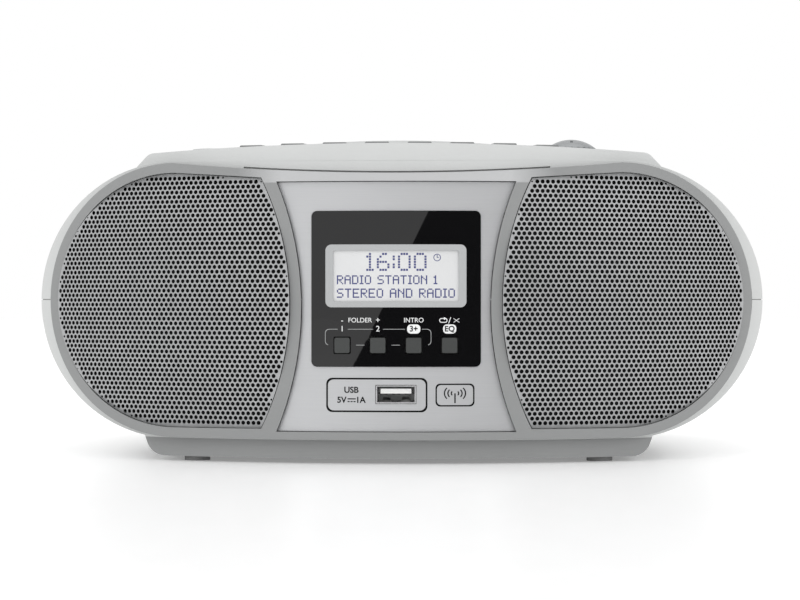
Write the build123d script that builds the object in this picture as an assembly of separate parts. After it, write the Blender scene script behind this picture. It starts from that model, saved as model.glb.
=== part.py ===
from build123d import *
import math
import os

os.makedirs("parts", exist_ok=True)

# ---------------------------------------------------------------------------
# Portable CD and digital radio.  Millimetres, +Z up, front faces -Y, X = 0 is
# the middle of the cabinet and z = 0 is the table under the rubber feet.
# ---------------------------------------------------------------------------

# cabinet as a whole
HALF_WIDTH = 136.3
FRONT_Y = -107.5
REAR_FACE_Y = 100.0
AXIS_Z = 57.3                 # height of the centre line of the pill shape
SEAM_Z = 57.5                 # upper and lower housings meet here
SEAM_GAP = 0.3
WALL = 2.2

# the front is bowed in plan, an arc about a vertical line far behind it
BOW_RADIUS = 200.0
BOW_Y = FRONT_Y + BOW_RADIUS
BEZEL_BACK = 196.6            # radii from the bow line
SHELL_FRONT = 196.3
PANEL_FRONT = 198.0
PANEL_BACK = 196.6
GLOSS_FRONT = 199.0
KEY_FRONT = 199.8

# the pill section of the shell, front to rear: y, x of end centre, end radius
SHELL_SECTIONS = [
    (-110.0, 78.6, 48.2),
    (-62.0, 82.0, 50.4),
    (-22.0, 85.0, HALF_WIDTH - 85.0),
    (50.0, 82.0, 50.4),
    (REAR_FACE_Y, 72.0, 47.5),
]

# raised top deck
DECK_TOP_Z = 112.25
DECK_CROWN_RADIUS = 1700.0
DECK_BASE_HALF = 94.3
DECK_TOP_HALF = 89.5
DECK_CORNER_RADIUS = 4.5
DECK_BASE_Z = 105.7
DECK_REAR_Y = 90.0

# plinth and feet
PLINTH_Z = 1.7
PLINTH_HALF_BOTTOM = 88.5
PLINTH_HALF_TOP = 93.0
PLINTH_CORNER_RADIUS = 7.0
PLINTH_TOP_Z = 14.0
PLINTH_REAR_Y = 94.0
FOOT_X = 72.0
FOOT_FRONT_Y = -82.0
FOOT_REAR_Y = 76.0

# bezel, a pill whose top edge dips in the middle
BEZEL_CENTRE_X = 80.0
BEZEL_RADIUS = 48.7
BEZEL_DIP_Z = 101.6
GROOVE_HEIGHT = 0.75
GROOVE_BOTTOM = 194.5
GROOVE_HALF = 54.0
GRILLE_RADIUS = 45.3
GRILLE_INNER_MID = 37.0
GRILLE_INNER_CORNER = 47.4
GRILLE_TOP_CORNER_Z = 100.3
GRILLE_BOTTOM_CORNER_Z = 12.1
GRILLE_CREST = 201.9          # bow radius at the crest of the grille
GRILLE_DOME_RADIUS = 230.0
GRILLE_SHEET = 1.0
PANEL_MID_HALF = 33.2
PANEL_END_HALF = 42.0
PANEL_TOP_Z = 98.8
PANEL_BOTTOM_Z = 11.2

# display, keys and USB port on the centre panel
GLOSS_WIDTH = 59.0
GLOSS_HEIGHT = 54.2
GLOSS_Z = 61.2
LCD_RIM_WIDTH = 49.2
LCD_RIM_HEIGHT = 21.9
LCD_Z = 65.7
LCD_WIDTH = 43.9
LCD_HEIGHT = 17.7
FRONT_KEY_SIZE = 5.3
FRONT_KEY_GAP = 0.4
FRONT_KEY_PITCH = 12.5
FRONT_KEY_Z = 41.5
USB_Z = 24.35
USB_WIDTH = 13.9
USB_HEIGHT = 6.3
USB_DEPTH = 14.0

# compact disc well, lid and mechanism
WELL_RADIUS = 63.0
WELL_Y = 4.0
WELL_FLOOR_Z = 101.0
LID_RADIUS = 67.5
LID_THICKNESS = 2.4
LID_CREST_Z = 115.6
LID_CROWN_RADIUS = 700.0
LID_TAB_HALF = 38.0
LID_AXIS_Y = 84.0
LID_AXIS_Z = 111.6
LID_BARREL_RADIUS = 2.95
WINDOW_RADIUS = 42.0
HUB_RADIUS = 7.3

# top keys and knob
KEY_COUNT = 8
KEY_PITCH = 14.8
KEY_WIDTH = 8.4
KEY_LENGTH = 6.0
KEY_ARC_RADIUS = 187.5
KEY_PROUD = 0.85
KEY_TRAVEL = 1.0
KEY_ROW_X = 0.6
KNOB_X = 62.5
KNOB_Y = -66.0
KNOB_RADIUS = 9.0
KNOB_TOP_Z = 115.6
KNOB_DOME_RADIUS = 14.0
KNOB_DISH_RADIUS = 11.0
STANDBY_X = -67.5
STANDBY_Y = -78.0
STANDBY_RADIUS = 6.6
STANDBY_PROUD = 1.1

# carry handle, folded back into a channel round the deck
HANDLE_PIVOT_Y = 36.0
HANDLE_PIVOT_Z = 100.5
HANDLE_ARM_IN = 97.5
HANDLE_ARM_OUT = 104.5
HANDLE_ARM_HALF = 4.2
HANDLE_GRIP_FRONT_Y = 91.2
HANDLE_GRIP_REAR_Y = 99.8
CHANNEL_CLEAR = 1.0
CHANNEL_FLOOR_Z = 95.3

# telescopic antenna, folded along the rear face
ANTENNA_X = 92.0
ANTENNA_Y = 105.0
ANTENNA_Z = 87.0
ANTENNA_LENGTH = 150.0
ANTENNA_RADIUS = 2.5

# battery bay for six C cells in two rows of three, door in the rear face
BAY_HALF = 77.0
BAY_FRONT_Y = 42.0
BAY_BOTTOM_Z = 14.0
BAY_TOP_Z = 42.5
BAY_WALL = 1.6
DOOR_THICKNESS = 2.0

# speakers, turned to face along the bow
SPEAKER_ANGLE = math.degrees(math.asin(BEZEL_CENTRE_X / BOW_RADIUS))
SPEAKER_SEAT = 189.0          # bow radius of the baffle front
CONE_RADIUS = 31.0

# boards: display board upright behind the panel, main board flat above the floor
FRONT_BOARD_Y = -94.0
MAIN_BOARD_TOP = USB_Z - USB_HEIGHT / 2
BOARD_THICKNESS = 1.6
KEY_BOARD_TOP = 101.6
SWITCH_HEIGHT = 3.6
SWITCH_GAP = 0.3

# sockets in the rear face of the lower housing
SOCKET_X = 97.0
SOCKET_Z = 44.0
TRANSFORMER_Z = 26.0

# laser sled
SLED_X = 25.0
SLED_TRAVEL = 30.0
RAIL_Z = 91.5
RAIL_SPACING = 13.0
SCREW_Y = WELL_Y - 22.0
CHASSIS_Z = 96.0


def front_plane(y):
    """Plane at depth y whose local x and y are the cabinet's X and Z."""
    return Plane(origin=(0, y, 0), x_dir=(1, 0, 0), z_dir=(0, -1, 0))


def prism(face, y_front, y_rear):
    """Solid from a front-view face, between two depths."""
    return extrude(front_plane(y_rear) * face, amount=y_rear - y_front, dir=(0, -1, 0))


def along_y(outline, y_front, y_rear):
    """Solid from a front-view outline, between two depths."""
    return prism(make_face(outline), y_front, y_rear)


def box_between(x0, x1, y0, y1, z0, z1):
    """Plain block between two corners."""
    middle = Pos((x0 + x1) / 2, (y0 + y1) / 2, (z0 + z1) / 2)
    return middle * Box(x1 - x0, y1 - y0, z1 - z0)


def upright(radius, z0, z1, x=0.0, y=0.0):
    """Vertical round bar."""
    return Pos(x, y, (z0 + z1) / 2) * Cylinder(radius, z1 - z0)


def bar_x(radius, x0, x1, y, z):
    """Round bar along X."""
    return Pos((x0 + x1) / 2, y, z) * Rot(0, 90, 0) * Cylinder(radius, x1 - x0)


def bar_y(radius, y0, y1, x, z):
    """Round bar along Y."""
    return Pos(x, (y0 + y1) / 2, z) * Rot(90, 0, 0) * Cylinder(radius, y1 - y0)


def bow_core(radius):
    """Everything nearer the bow line than a radius."""
    return Pos(0, BOW_Y, 60) * Cylinder(radius, 160)


def bow_slab(outline, back, front):
    """Front-view outline cut from a curved slab of the bowed front."""
    block = along_y(outline, FRONT_Y - 12, -30)
    return (block & bow_core(front)) - bow_core(back)


def bow_depth(x, radius):
    """Depth of the bowed surface of a radius at a distance from the middle."""
    return BOW_Y - math.sqrt(radius ** 2 - x ** 2)


def deck_height(x):
    """Height of the crowned deck top."""
    return DECK_TOP_Z - x ** 2 / (2 * DECK_CROWN_RADIUS)


def rounded_rectangle(width, height, radius, x=0.0, z=0.0):
    """Front-view outline with rounded corners."""
    shape = Pos(x, z) * RectangleRounded(width, height, radius)
    return shape.face().outer_wire().edges()


def mirrored(shape):
    """The same piece on the other side of the cabinet."""
    return mirror(shape, about=Plane.YZ)


# ---------------------------------------------------------------------------
# Housings
# ---------------------------------------------------------------------------

def pill_loft(inset, front_inset):
    """Shell body lofted through its pill sections, optionally inset."""
    sections = []
    for y, centre_x, radius in SHELL_SECTIONS:
        gap = front_inset if y < -50 else inset
        depth = y - gap if y > 90 else y
        slot = SlotOverall(2 * (centre_x + radius - gap), 2 * (radius - gap))
        plane = Plane(origin=(0, depth, AXIS_Z), x_dir=(1, 0, 0), z_dir=(0, -1, 0))
        sections.append(plane * slot)
    return loft(sections)


def deck_block(inset, front_radius):
    """Raised deck: a trapezoid with a crowned top and round shoulders, front face bowed."""
    top = DECK_TOP_HALF - inset
    base = DECK_BASE_HALF - inset
    shoulder_z = deck_height(DECK_TOP_HALF) - inset
    outline = [
        Line((-top, shoulder_z), (-base, DECK_BASE_Z - 0.5)),
        Line((-base, DECK_BASE_Z - 0.5), (-base, 90)),
        Line((-base, 90), (base, 90)),
        Line((base, 90), (base, DECK_BASE_Z - 0.5)),
        Line((base, DECK_BASE_Z - 0.5), (top, shoulder_z)),
        ThreePointArc((top, shoulder_z), (0, DECK_TOP_Z - inset), (-top, shoulder_z)),
    ]
    face = make_face(outline)
    corners = face.vertices().filter_by(lambda corner: corner.Y > DECK_BASE_Z)
    face = fillet(corners, DECK_CORNER_RADIUS - inset)
    return prism(face, FRONT_Y - 5, DECK_REAR_Y - inset) & bow_core(front_radius)


def plinth_block(inset, front_radius):
    """Tapered plinth under the shell."""
    low = PLINTH_HALF_BOTTOM - inset
    high = PLINTH_HALF_TOP - inset
    floor = PLINTH_Z + inset
    outline = Polyline(
        (-low, floor), (low, floor), (high, PLINTH_TOP_Z), (high, 30),
        (-high, 30), (-high, PLINTH_TOP_Z), close=True,
    ).edges()
    face = make_face(outline)
    corners = face.vertices().filter_by(lambda corner: corner.Y < floor + 1)
    face = fillet(corners, PLINTH_CORNER_RADIUS - inset)
    return prism(face, FRONT_Y - 5, PLINTH_REAR_Y - inset) & bow_core(front_radius)


def handle_channel(grow):
    """Channel that the folded handle lies in, sides and rear."""
    inner = HANDLE_ARM_IN - CHANNEL_CLEAR - grow
    outer = HANDLE_ARM_OUT + CHANNEL_CLEAR + grow
    front = HANDLE_PIVOT_Y - HANDLE_ARM_HALF - CHANNEL_CLEAR - grow
    floor = CHANNEL_FLOOR_Z - grow
    rear = HANDLE_GRIP_FRONT_Y - CHANNEL_CLEAR - grow
    right = box_between(inner, outer, front, 120, floor, 130)
    back = box_between(-outer, outer, rear, 120, floor, 130)
    return right + mirrored(right) + back


def battery_space(grow):
    """Battery bay, open to the rear."""
    return box_between(
        -BAY_HALF - grow, BAY_HALF + grow, BAY_FRONT_Y - grow, 120,
        BAY_BOTTOM_Z - grow, BAY_TOP_Z + grow,
    )


def housing_body():
    """Both housings in one hollow piece, before the seam is cut."""
    outer = pill_loft(0, 0) & bow_core(SHELL_FRONT)
    outer = outer + deck_block(0, SHELL_FRONT - 0.6) + plinth_block(0, SHELL_FRONT - 0.4)
    cavity = pill_loft(WALL, 4.2) + plinth_block(WALL, SHELL_FRONT - 3)
    cavity = cavity + deck_block(WALL, SHELL_FRONT - 3)
    cavity = cavity - handle_channel(WALL)
    return outer - handle_channel(0) - cavity


def lid_outline(grow):
    """Plan of the lid: a disc with a straight tab running back to the hinge."""
    disc = upright(LID_RADIUS + grow, 90, 130, 0, WELL_Y)
    tab = box_between(
        -LID_TAB_HALF - grow, LID_TAB_HALF + grow, WELL_Y, LID_AXIS_Y, 90, 130,
    )
    return disc + tab


def key_places():
    """Centre of every top key, on an arc parallel to the bowed front."""
    places = []
    for number in range(KEY_COUNT):
        x = KEY_ROW_X + (number - (KEY_COUNT - 1) / 2) * KEY_PITCH
        places.append((x, BOW_Y - math.sqrt(KEY_ARC_RADIUS ** 2 - x ** 2)))
    return places


# ---------------------------------------------------------------------------
# Speakers: every piece is made about its own axis and then set behind a grille
# ---------------------------------------------------------------------------

def speaker_seat(side):
    """Location whose -Y direction is the speaker axis, on the baffle front."""
    angle = math.radians(SPEAKER_ANGLE)
    x = side * SPEAKER_SEAT * math.sin(angle)
    y = BOW_Y - SPEAKER_SEAT * math.cos(angle)
    return Pos(x, y, AXIS_Z) * Rot(0, 0, side * SPEAKER_ANGLE)


def turned(points):
    """Round piece about the speaker axis from (radius, depth) corners."""
    profile = Polyline(*[(radius, depth, 0) for radius, depth in points], close=True)
    return revolve(make_face(profile.edges()), axis=Axis.Y)


def speaker_baffle():
    """Flat board behind a grille with the speaker hole through it."""
    board = bar_y(42.0, 0, 2.5, 0, 0)
    return board - bar_y(35.5, -1, 4, 0, 0)


def speaker_frame():
    """Pressed basket: flange against the baffle, bowl and magnet seat."""
    bowl = turned([
        (34.0, 2.5), (38.5, 2.5), (38.5, 4.1), (35.2, 4.4), (22.0, 22.0),
        (22.0, 24.0), (8.6, 24.0), (8.6, 22.6), (20.6, 22.6), (20.6, 21.2), (34.0, 4.1),
    ])
    window = Pos(0, 13, 27) * Box(13, 11, 22)
    for quarter in range(4):
        bowl = bowl - Rot(0, 45 + 90 * quarter, 0) * window
    return bowl


def speaker_magnet():
    """Ring magnet between two steel plates."""
    ring = turned([(8.4, 25.0), (24.0, 25.0), (24.0, 34.0), (8.4, 34.0)])
    front_plate = turned([(8.4, 24.0), (22.0, 24.0), (22.0, 25.0), (8.4, 25.0)])
    rear_plate = turned([(0.0, 34.0), (22.0, 34.0), (22.0, 35.4), (0.0, 35.4)])
    return ring + front_plate + rear_plate


def speaker_cone():
    """Paper cone with its rolled edge, dust cap and voice coil former."""
    paper = turned([
        (33.2, 1.0), (33.2, 1.8), (30.6, 1.8), (8.0, 15.6), (8.0, 25.6), (7.4, 25.6),
        (7.4, 14.8), (CONE_RADIUS - 1.2, 1.0),
    ])
    roll = Pos(0, 1.2, 0) * Rot(90, 0, 0) * Torus(CONE_RADIUS + 0.5, 1.5)
    cap = Pos(0, 19.6, 0) * Sphere(10.0) - Pos(0, 19.6, 0) * Sphere(9.2)
    return paper + roll + (cap & bar_y(7.9, 5, 16, 0, 0))


# ---------------------------------------------------------------------------
# Bezel, grilles and centre panel
# ---------------------------------------------------------------------------

def bezel_outline(grow):
    """Pill with straight bottom and dipped top."""
    top_z = AXIS_Z + BEZEL_RADIUS + grow
    bottom_z = AXIS_Z - BEZEL_RADIUS - grow
    edge_x = BEZEL_CENTRE_X + BEZEL_RADIUS + grow
    dip_z = BEZEL_DIP_Z + grow
    return [
        ThreePointArc((-BEZEL_CENTRE_X, top_z), (0, dip_z), (BEZEL_CENTRE_X, top_z)),
        ThreePointArc((BEZEL_CENTRE_X, top_z), (edge_x, AXIS_Z), (BEZEL_CENTRE_X, bottom_z)),
        Line((BEZEL_CENTRE_X, bottom_z), (-BEZEL_CENTRE_X, bottom_z)),
        ThreePointArc((-BEZEL_CENTRE_X, bottom_z), (-edge_x, AXIS_Z), (-BEZEL_CENTRE_X, top_z)),
    ]


def grille_outline(inset):
    """D-shaped grille on the right side, its inner edge bulging to the middle."""
    radius = GRILLE_RADIUS - inset
    top = (BEZEL_CENTRE_X, AXIS_Z + radius)
    bottom = (BEZEL_CENTRE_X, AXIS_Z - radius)
    outer = (BEZEL_CENTRE_X + radius, AXIS_Z)
    corner_x = GRILLE_INNER_CORNER + inset
    top_corner = (corner_x, GRILLE_TOP_CORNER_Z - inset)
    bottom_corner = (corner_x, GRILLE_BOTTOM_CORNER_Z + inset)
    middle_z = (GRILLE_TOP_CORNER_Z + GRILLE_BOTTOM_CORNER_Z) / 2
    return [
        ThreePointArc(top, outer, bottom),
        Line(bottom, bottom_corner),
        ThreePointArc(bottom_corner, (GRILLE_INNER_MID + inset, middle_z), top_corner),
        Line(top_corner, top),
    ]


def panel_outline(inset):
    """Hourglass centre panel between the two grille rims."""
    end = PANEL_END_HALF - inset
    middle = PANEL_MID_HALF - inset
    top = PANEL_TOP_Z - inset
    bottom = PANEL_BOTTOM_Z + inset
    middle_z = (top + bottom) / 2
    return [
        Line((-end, top), (end, top)),
        ThreePointArc((end, top), (middle, middle_z), (end, bottom)),
        Line((end, bottom), (-end, bottom)),
        ThreePointArc((-end, bottom), (-middle, middle_z), (-end, top)),
    ]


def grille_through():
    """Front-view hole for both grilles."""
    right = along_y(grille_outline(0), FRONT_Y - 20, 0)
    return right + mirrored(right)


def front_bezel():
    """Bowed bezel with openings for the grilles and the centre panel."""
    bezel = bow_slab(bezel_outline(0), BEZEL_BACK, BOW_RADIUS)
    bezel = bezel - grille_through() - along_y(panel_outline(0), FRONT_Y - 20, 0)
    return bezel


def grille_shell():
    """Curved sheet: follows the bow in plan and domes gently in height."""
    half = GRILLE_RADIUS + 4
    drop = GRILLE_DOME_RADIUS - math.sqrt(GRILLE_DOME_RADIUS ** 2 - half ** 2)
    edge = GRILLE_CREST - drop
    back = GRILLE_SHEET
    profile = [
        ThreePointArc((edge, 0, -half), (GRILLE_CREST, 0, 0), (edge, 0, half)),
        Line((edge, 0, half), (edge - back, 0, half)),
        ThreePointArc(
            (edge - back, 0, half), (GRILLE_CREST - back, 0, 0), (edge - back, 0, -half),
        ),
        Line((edge - back, 0, -half), (edge, 0, -half)),
    ]
    return Pos(0, BOW_Y, AXIS_Z) * revolve(make_face(profile), axis=Axis.Z)


def right_grille():
    """Right-hand grille sheet."""
    return grille_shell() & along_y(grille_outline(0.25), FRONT_Y - 12, -30)


def centre_panel():
    """Brushed panel with the cut-outs for display, keys and USB port."""
    panel = bow_slab(panel_outline(0.25), PANEL_BACK, PANEL_FRONT)
    window = rounded_rectangle(GLOSS_WIDTH + 0.3, GLOSS_HEIGHT + 0.3, 2.0, 0, GLOSS_Z)
    port = rounded_rectangle(USB_WIDTH + 0.4, USB_HEIGHT + 0.4, 0.1, 0, USB_Z)
    panel = panel - along_y(window, FRONT_Y - 10, -30)
    return panel - along_y(port, FRONT_Y - 10, -30)


def front_key_x(number):
    """Middle of a front key."""
    return (number - 1.5) * FRONT_KEY_PITCH


def display_panel():
    """Gloss panel with a window for the display and four key holes."""
    panel = bow_slab(
        rounded_rectangle(GLOSS_WIDTH, GLOSS_HEIGHT, 1.9, 0, GLOSS_Z), PANEL_BACK, GLOSS_FRONT,
    )
    window = rounded_rectangle(LCD_WIDTH + 0.6, LCD_HEIGHT + 0.6, 1.0, 0, LCD_Z)
    panel = panel - along_y(window, FRONT_Y - 10, -30)
    size = FRONT_KEY_SIZE + 2 * FRONT_KEY_GAP
    for number in range(4):
        hole = rounded_rectangle(size, size, 0.5, front_key_x(number), FRONT_KEY_Z)
        panel = panel - along_y(hole, FRONT_Y - 10, -30)
    return panel


def lcd_frame():
    """Pale rim round the display, standing just proud of the gloss panel."""
    rim = rounded_rectangle(LCD_RIM_WIDTH, LCD_RIM_HEIGHT, 2.1, 0, LCD_Z)
    frame = bow_slab(rim, GLOSS_FRONT + 0.02, GLOSS_FRONT + 0.45)
    inner = rounded_rectangle(LCD_WIDTH, LCD_HEIGHT, 0.8, 0, LCD_Z)
    return frame - along_y(inner, FRONT_Y - 10, -30)


def lcd_module():
    """Display glass and its carrier behind the window."""
    glass = rounded_rectangle(LCD_WIDTH + 0.3, LCD_HEIGHT + 0.3, 0.9, 0, LCD_Z)
    face = bow_slab(glass, PANEL_BACK, GLOSS_FRONT - 0.2)
    half = LCD_RIM_WIDTH / 2 - 0.6
    rear = bow_depth(0, PANEL_BACK)
    carrier = box_between(-half, half, rear + 1.8, rear + 5.0, LCD_Z - 11, LCD_Z + 11)
    neck = box_between(-half + 3, half - 3, rear - 0.4, rear + 2.0, LCD_Z - 8, LCD_Z + 8)
    return face + carrier + neck


def front_key(number):
    """Square key: cap through the gloss panel and a stem to its switch."""
    x = front_key_x(number)
    size = FRONT_KEY_SIZE
    cap = bow_slab(rounded_rectangle(size, size, 0.6, x, FRONT_KEY_Z), 194.2, KEY_FRONT)
    flange_rear = bow_depth(x, 194.2)
    flange = box_between(
        x - size / 2 - 0.9, x + size / 2 + 0.9, flange_rear - 0.6, flange_rear + 0.6,
        FRONT_KEY_Z - 4.0, FRONT_KEY_Z + 4.0,
    )
    stem = bar_y(1.3, flange_rear, FRONT_BOARD_Y - 4.6, x, FRONT_KEY_Z)
    return cap + flange + stem


# ---------------------------------------------------------------------------
# Housings, cut and finished
# ---------------------------------------------------------------------------

def lid_opening():
    """Hole in the deck for the lid, its hinge tab and its barrel."""
    pocket = box_between(
        -LID_TAB_HALF - 0.5, LID_TAB_HALF + 0.5, WELL_Y, LID_AXIS_Y + 3.8, 104, 130,
    )
    return lid_outline(0.5) + pocket


def key_cutter(x, y, grow):
    """Upright prism of a top key, turned to follow the row."""
    lean = math.degrees(math.asin(x / KEY_ARC_RADIUS))
    prism = Box(KEY_WIDTH + 2 * grow, KEY_LENGTH + 2 * grow, 40)
    return Pos(x, y, 115) * Rot(0, 0, lean) * prism


def shadow_groove():
    """Narrow groove in the deck face just above the dipped edge of the bezel."""
    channel = bow_slab(bezel_outline(GROOVE_HEIGHT), GROOVE_BOTTOM, SHELL_FRONT + 1)
    return channel & box_between(-GROOVE_HALF, GROOVE_HALF, FRONT_Y - 12, -30, 90, 130)


def hinge_boss():
    """Block beside the lid barrel that carries its pin."""
    return box_between(LID_TAB_HALF + 0.6, LID_TAB_HALF + 4.6, 80, 88, 105.5, LID_AXIS_Z + 1.9)


def upper_housing(body):
    """Top half: deck, lid opening, key holes, knob dish and handle channel."""
    top = body & box_between(-200, 200, -150, 150, SEAM_Z + SEAM_GAP / 2, 140)
    top = top - lid_opening() - shadow_groove()
    for x, y in key_places():
        top = top - key_cutter(x, y, 0.35)
    dish_z = KNOB_TOP_Z - 5.0
    dish = upright(KNOB_DISH_RADIUS + 1.4, dish_z - 1.4, dish_z + 1.0, KNOB_X, KNOB_Y)
    top = top + dish
    top = top - upright(KNOB_DISH_RADIUS, dish_z, 130, KNOB_X, KNOB_Y)
    top = top - upright(3.4, 90, 130, KNOB_X, KNOB_Y)
    top = top - upright(STANDBY_RADIUS + 0.35, 90, 130, STANDBY_X, STANDBY_Y)
    top = top + hinge_boss() + mirrored(hinge_boss())
    top = top - bar_x(1.57, -LID_TAB_HALF - 3.6, LID_TAB_HALF + 3.6, LID_AXIS_Y, LID_AXIS_Z)
    pin_hole = bar_x(3.06, 90, HANDLE_ARM_IN, HANDLE_PIVOT_Y, HANDLE_PIVOT_Z)
    top = top - pin_hole - mirrored(pin_hole) + antenna_boss()
    return top - bar_y(1.56, 95, 110, ANTENNA_X, ANTENNA_Z)


def antenna_boss():
    """Seat on the rear face that the antenna knuckle turns against."""
    return bar_y(5.0, REAR_FACE_Y - 3, REAR_FACE_Y + 1.6, ANTENNA_X, ANTENNA_Z)


def foot_places():
    """Centres of the four rubber feet."""
    return [
        (side * FOOT_X, y) for side in (-1, 1) for y in (FOOT_FRONT_Y, FOOT_REAR_Y)
    ]


def post_places():
    """Screw posts: x, y, where the post leaves the shell, and the screw seat."""
    return [(-104, -34, 12.9, 22), (104, -34, 12.9, 22), (-56, 32, 3, 9), (56, 32, 3, 9)]


def lower_housing(body):
    """Bottom half: plinth, battery door opening, socket holes and screw posts."""
    bottom = body & box_between(-200, 200, -150, 150, 0, SEAM_Z - SEAM_GAP / 2)
    bottom = bottom - battery_space(-1.2)
    bottom = bottom - box_between(
        -BAY_HALF - 1.3, BAY_HALF + 1.3, REAR_FACE_Y - DOOR_THICKNESS - 0.4, 120,
        BAY_BOTTOM_Z - 1.3, BAY_TOP_Z + 1.3,
    )
    bottom = bottom - box_between(
        -SOCKET_X - 10.6, -SOCKET_X + 10.6, 90, 110, SOCKET_Z - 7.6, SOCKET_Z + 7.6,
    )
    bottom = bottom - bar_y(4.0, 90, 110, SOCKET_X, SOCKET_Z)
    for x, y in foot_places():
        bottom = bottom + upright(5.4, 2.2, 5.4, x, y)
        bottom = bottom - upright(4.0, 0, 3.2, x, y)
    for x, y, floor, base in post_places():
        bottom = bottom + upright(5.4, floor, base + 3, x, y)
        bottom = bottom + upright(3.6, base, SEAM_Z - 1, x, y)
        bottom = bottom - upright(1.9, base - 1, SEAM_Z + 1, x, y)
        bottom = bottom - upright(3.7, -1, base, x, y)
    for x, floor in ((-100, 12.0), (-90, 9.5)):
        bottom = bottom + box_between(x, x + 3, 46, 80, floor, TRANSFORMER_Z)
    for x in (-40, 40):
        for y in (-80, 24):
            bottom = bottom + upright(2.6, 3, MAIN_BOARD_TOP - BOARD_THICKNESS, x, y)
    return bottom


def rubber_foot(x, y):
    """Round foot with a stub pressed into the plinth."""
    pad = upright(4.6, 0, PLINTH_Z, x, y)
    return pad + upright(4.0, PLINTH_Z, 3.2, x, y)


def housing_screw(x, y, base):
    """Pan-head screw up through a post."""
    head = upright(3.2, base - 2, base, x, y)
    slot = box_between(x - 2.2, x + 2.2, y - 0.4, y + 0.4, base - 3, base - 1.2)
    return head + upright(1.5, base, SEAM_Z - 4, x, y) - slot


# ---------------------------------------------------------------------------
# Top controls
# ---------------------------------------------------------------------------

def top_key(x, y):
    """Key cap with a crowned top, a retaining skirt and a stem."""
    lean = math.degrees(math.asin(x / KEY_ARC_RADIUS))
    crest = deck_height(x) + KEY_PROUD
    place = Pos(x, y) * Rot(0, 0, lean)
    skirt_z = deck_height(x) - WALL - KEY_TRAVEL - 0.6
    cap = Pos(0, 0, (crest + skirt_z) / 2) * Box(KEY_WIDTH, KEY_LENGTH, crest - skirt_z)
    cap = fillet(cap.edges().group_by(Axis.Z)[-1], 0.5)
    skirt = Pos(0, 0, skirt_z) * Box(KEY_WIDTH + 1.4, KEY_LENGTH + 1.4, 1.2)
    stem_z = KEY_BOARD_TOP + SWITCH_HEIGHT + KEY_TRAVEL + SWITCH_GAP
    stem = upright(1.4, stem_z, skirt_z)
    return place * (cap + skirt + stem)


def key_switch_places():
    """Centres of the switches under the top keys and the standby button."""
    return key_places() + [(STANDBY_X, STANDBY_Y)]


def tact_switch(height):
    """Small push switch, plunger up, standing on z = 0."""
    return Pos(0, 0, 1.25) * Box(4.5, 4.5, 2.5) + upright(1.2, 2.5, height)


def key_board():
    """Curved board under the key row, reaching the knob and standby button."""
    outline = upright(BOW_RADIUS - 8.5, 0, BOARD_THICKNESS, 0, BOW_Y)
    outline = outline - upright(BOW_RADIUS - 20.5, -1, 5, 0, BOW_Y)
    outline = outline & box_between(-60, 60, -120, 0, -1, 5)
    right = box_between(50, KNOB_X + 9, -80, KNOB_Y + 9, 0, BOARD_THICKNESS)
    left = box_between(STANDBY_X - 6, -50, -84, STANDBY_Y + 6, 0, BOARD_THICKNESS)
    return Pos(0, 0, KEY_BOARD_TOP - BOARD_THICKNESS) * (outline + right + left)


def standby_button():
    """Round button with a softly domed face."""
    crest = deck_height(STANDBY_X) + STANDBY_PROUD
    base = deck_height(STANDBY_X) - WALL - KEY_TRAVEL - 1.2
    stem_z = KEY_BOARD_TOP + SWITCH_HEIGHT + KEY_TRAVEL + SWITCH_GAP
    stem = upright(1.4, stem_z, base + 1, STANDBY_X, STANDBY_Y)
    body = upright(STANDBY_RADIUS, base + 1.2, crest, STANDBY_X, STANDBY_Y)
    body = body & (Pos(STANDBY_X, STANDBY_Y, crest - 40.0) * Sphere(40.0))
    return body + upright(STANDBY_RADIUS + 0.8, base, base + 1.2, STANDBY_X, STANDBY_Y) + stem


def volume_knob():
    """Turned knob with a domed top, finger flutes and a pointer groove."""
    bottom = KNOB_TOP_Z - 4.7
    knob = upright(KNOB_RADIUS, bottom, KNOB_TOP_Z)
    knob = knob & (Pos(0, 0, KNOB_TOP_Z - KNOB_DOME_RADIUS) * Sphere(KNOB_DOME_RADIUS))
    for step in range(24):
        groove = Rot(0, 0, 15 * step) * upright(0.5, bottom, KNOB_TOP_Z, KNOB_RADIUS + 0.15, 0)
        knob = knob - groove
    knob = knob - box_between(-0.5, 0.5, -8.0, -4.0, KNOB_TOP_Z - 1.4, KNOB_TOP_Z + 1)
    shaft = upright(3.0, KEY_BOARD_TOP + 5.0, bottom + 0.5)
    return Pos(KNOB_X, KNOB_Y) * (knob + shaft)


def volume_encoder():
    """Rotary encoder on the key board under the knob."""
    z = KEY_BOARD_TOP
    body = box_between(-6, 6, -6, 6, z, z + 2.6)
    collar = upright(3.6, z + 2.6, z + 4.7)
    return Pos(KNOB_X, KNOB_Y) * (body + collar)


# ---------------------------------------------------------------------------
# Disc lid, well and mechanism
# ---------------------------------------------------------------------------

def lid_slab(top_z, thickness):
    """Wide plate crowned across the cabinet."""
    half = LID_RADIUS + 6
    drop = half ** 2 / (2 * LID_CROWN_RADIUS)
    low = top_z - thickness
    outline = [
        ThreePointArc((-half, top_z - drop), (0, top_z), (half, top_z - drop)),
        Line((half, top_z - drop), (half, low - drop)),
        ThreePointArc((half, low - drop), (0, low), (-half, low - drop)),
        Line((-half, low - drop), (-half, top_z - drop)),
    ]
    return along_y(outline, -90, 100)


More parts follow.
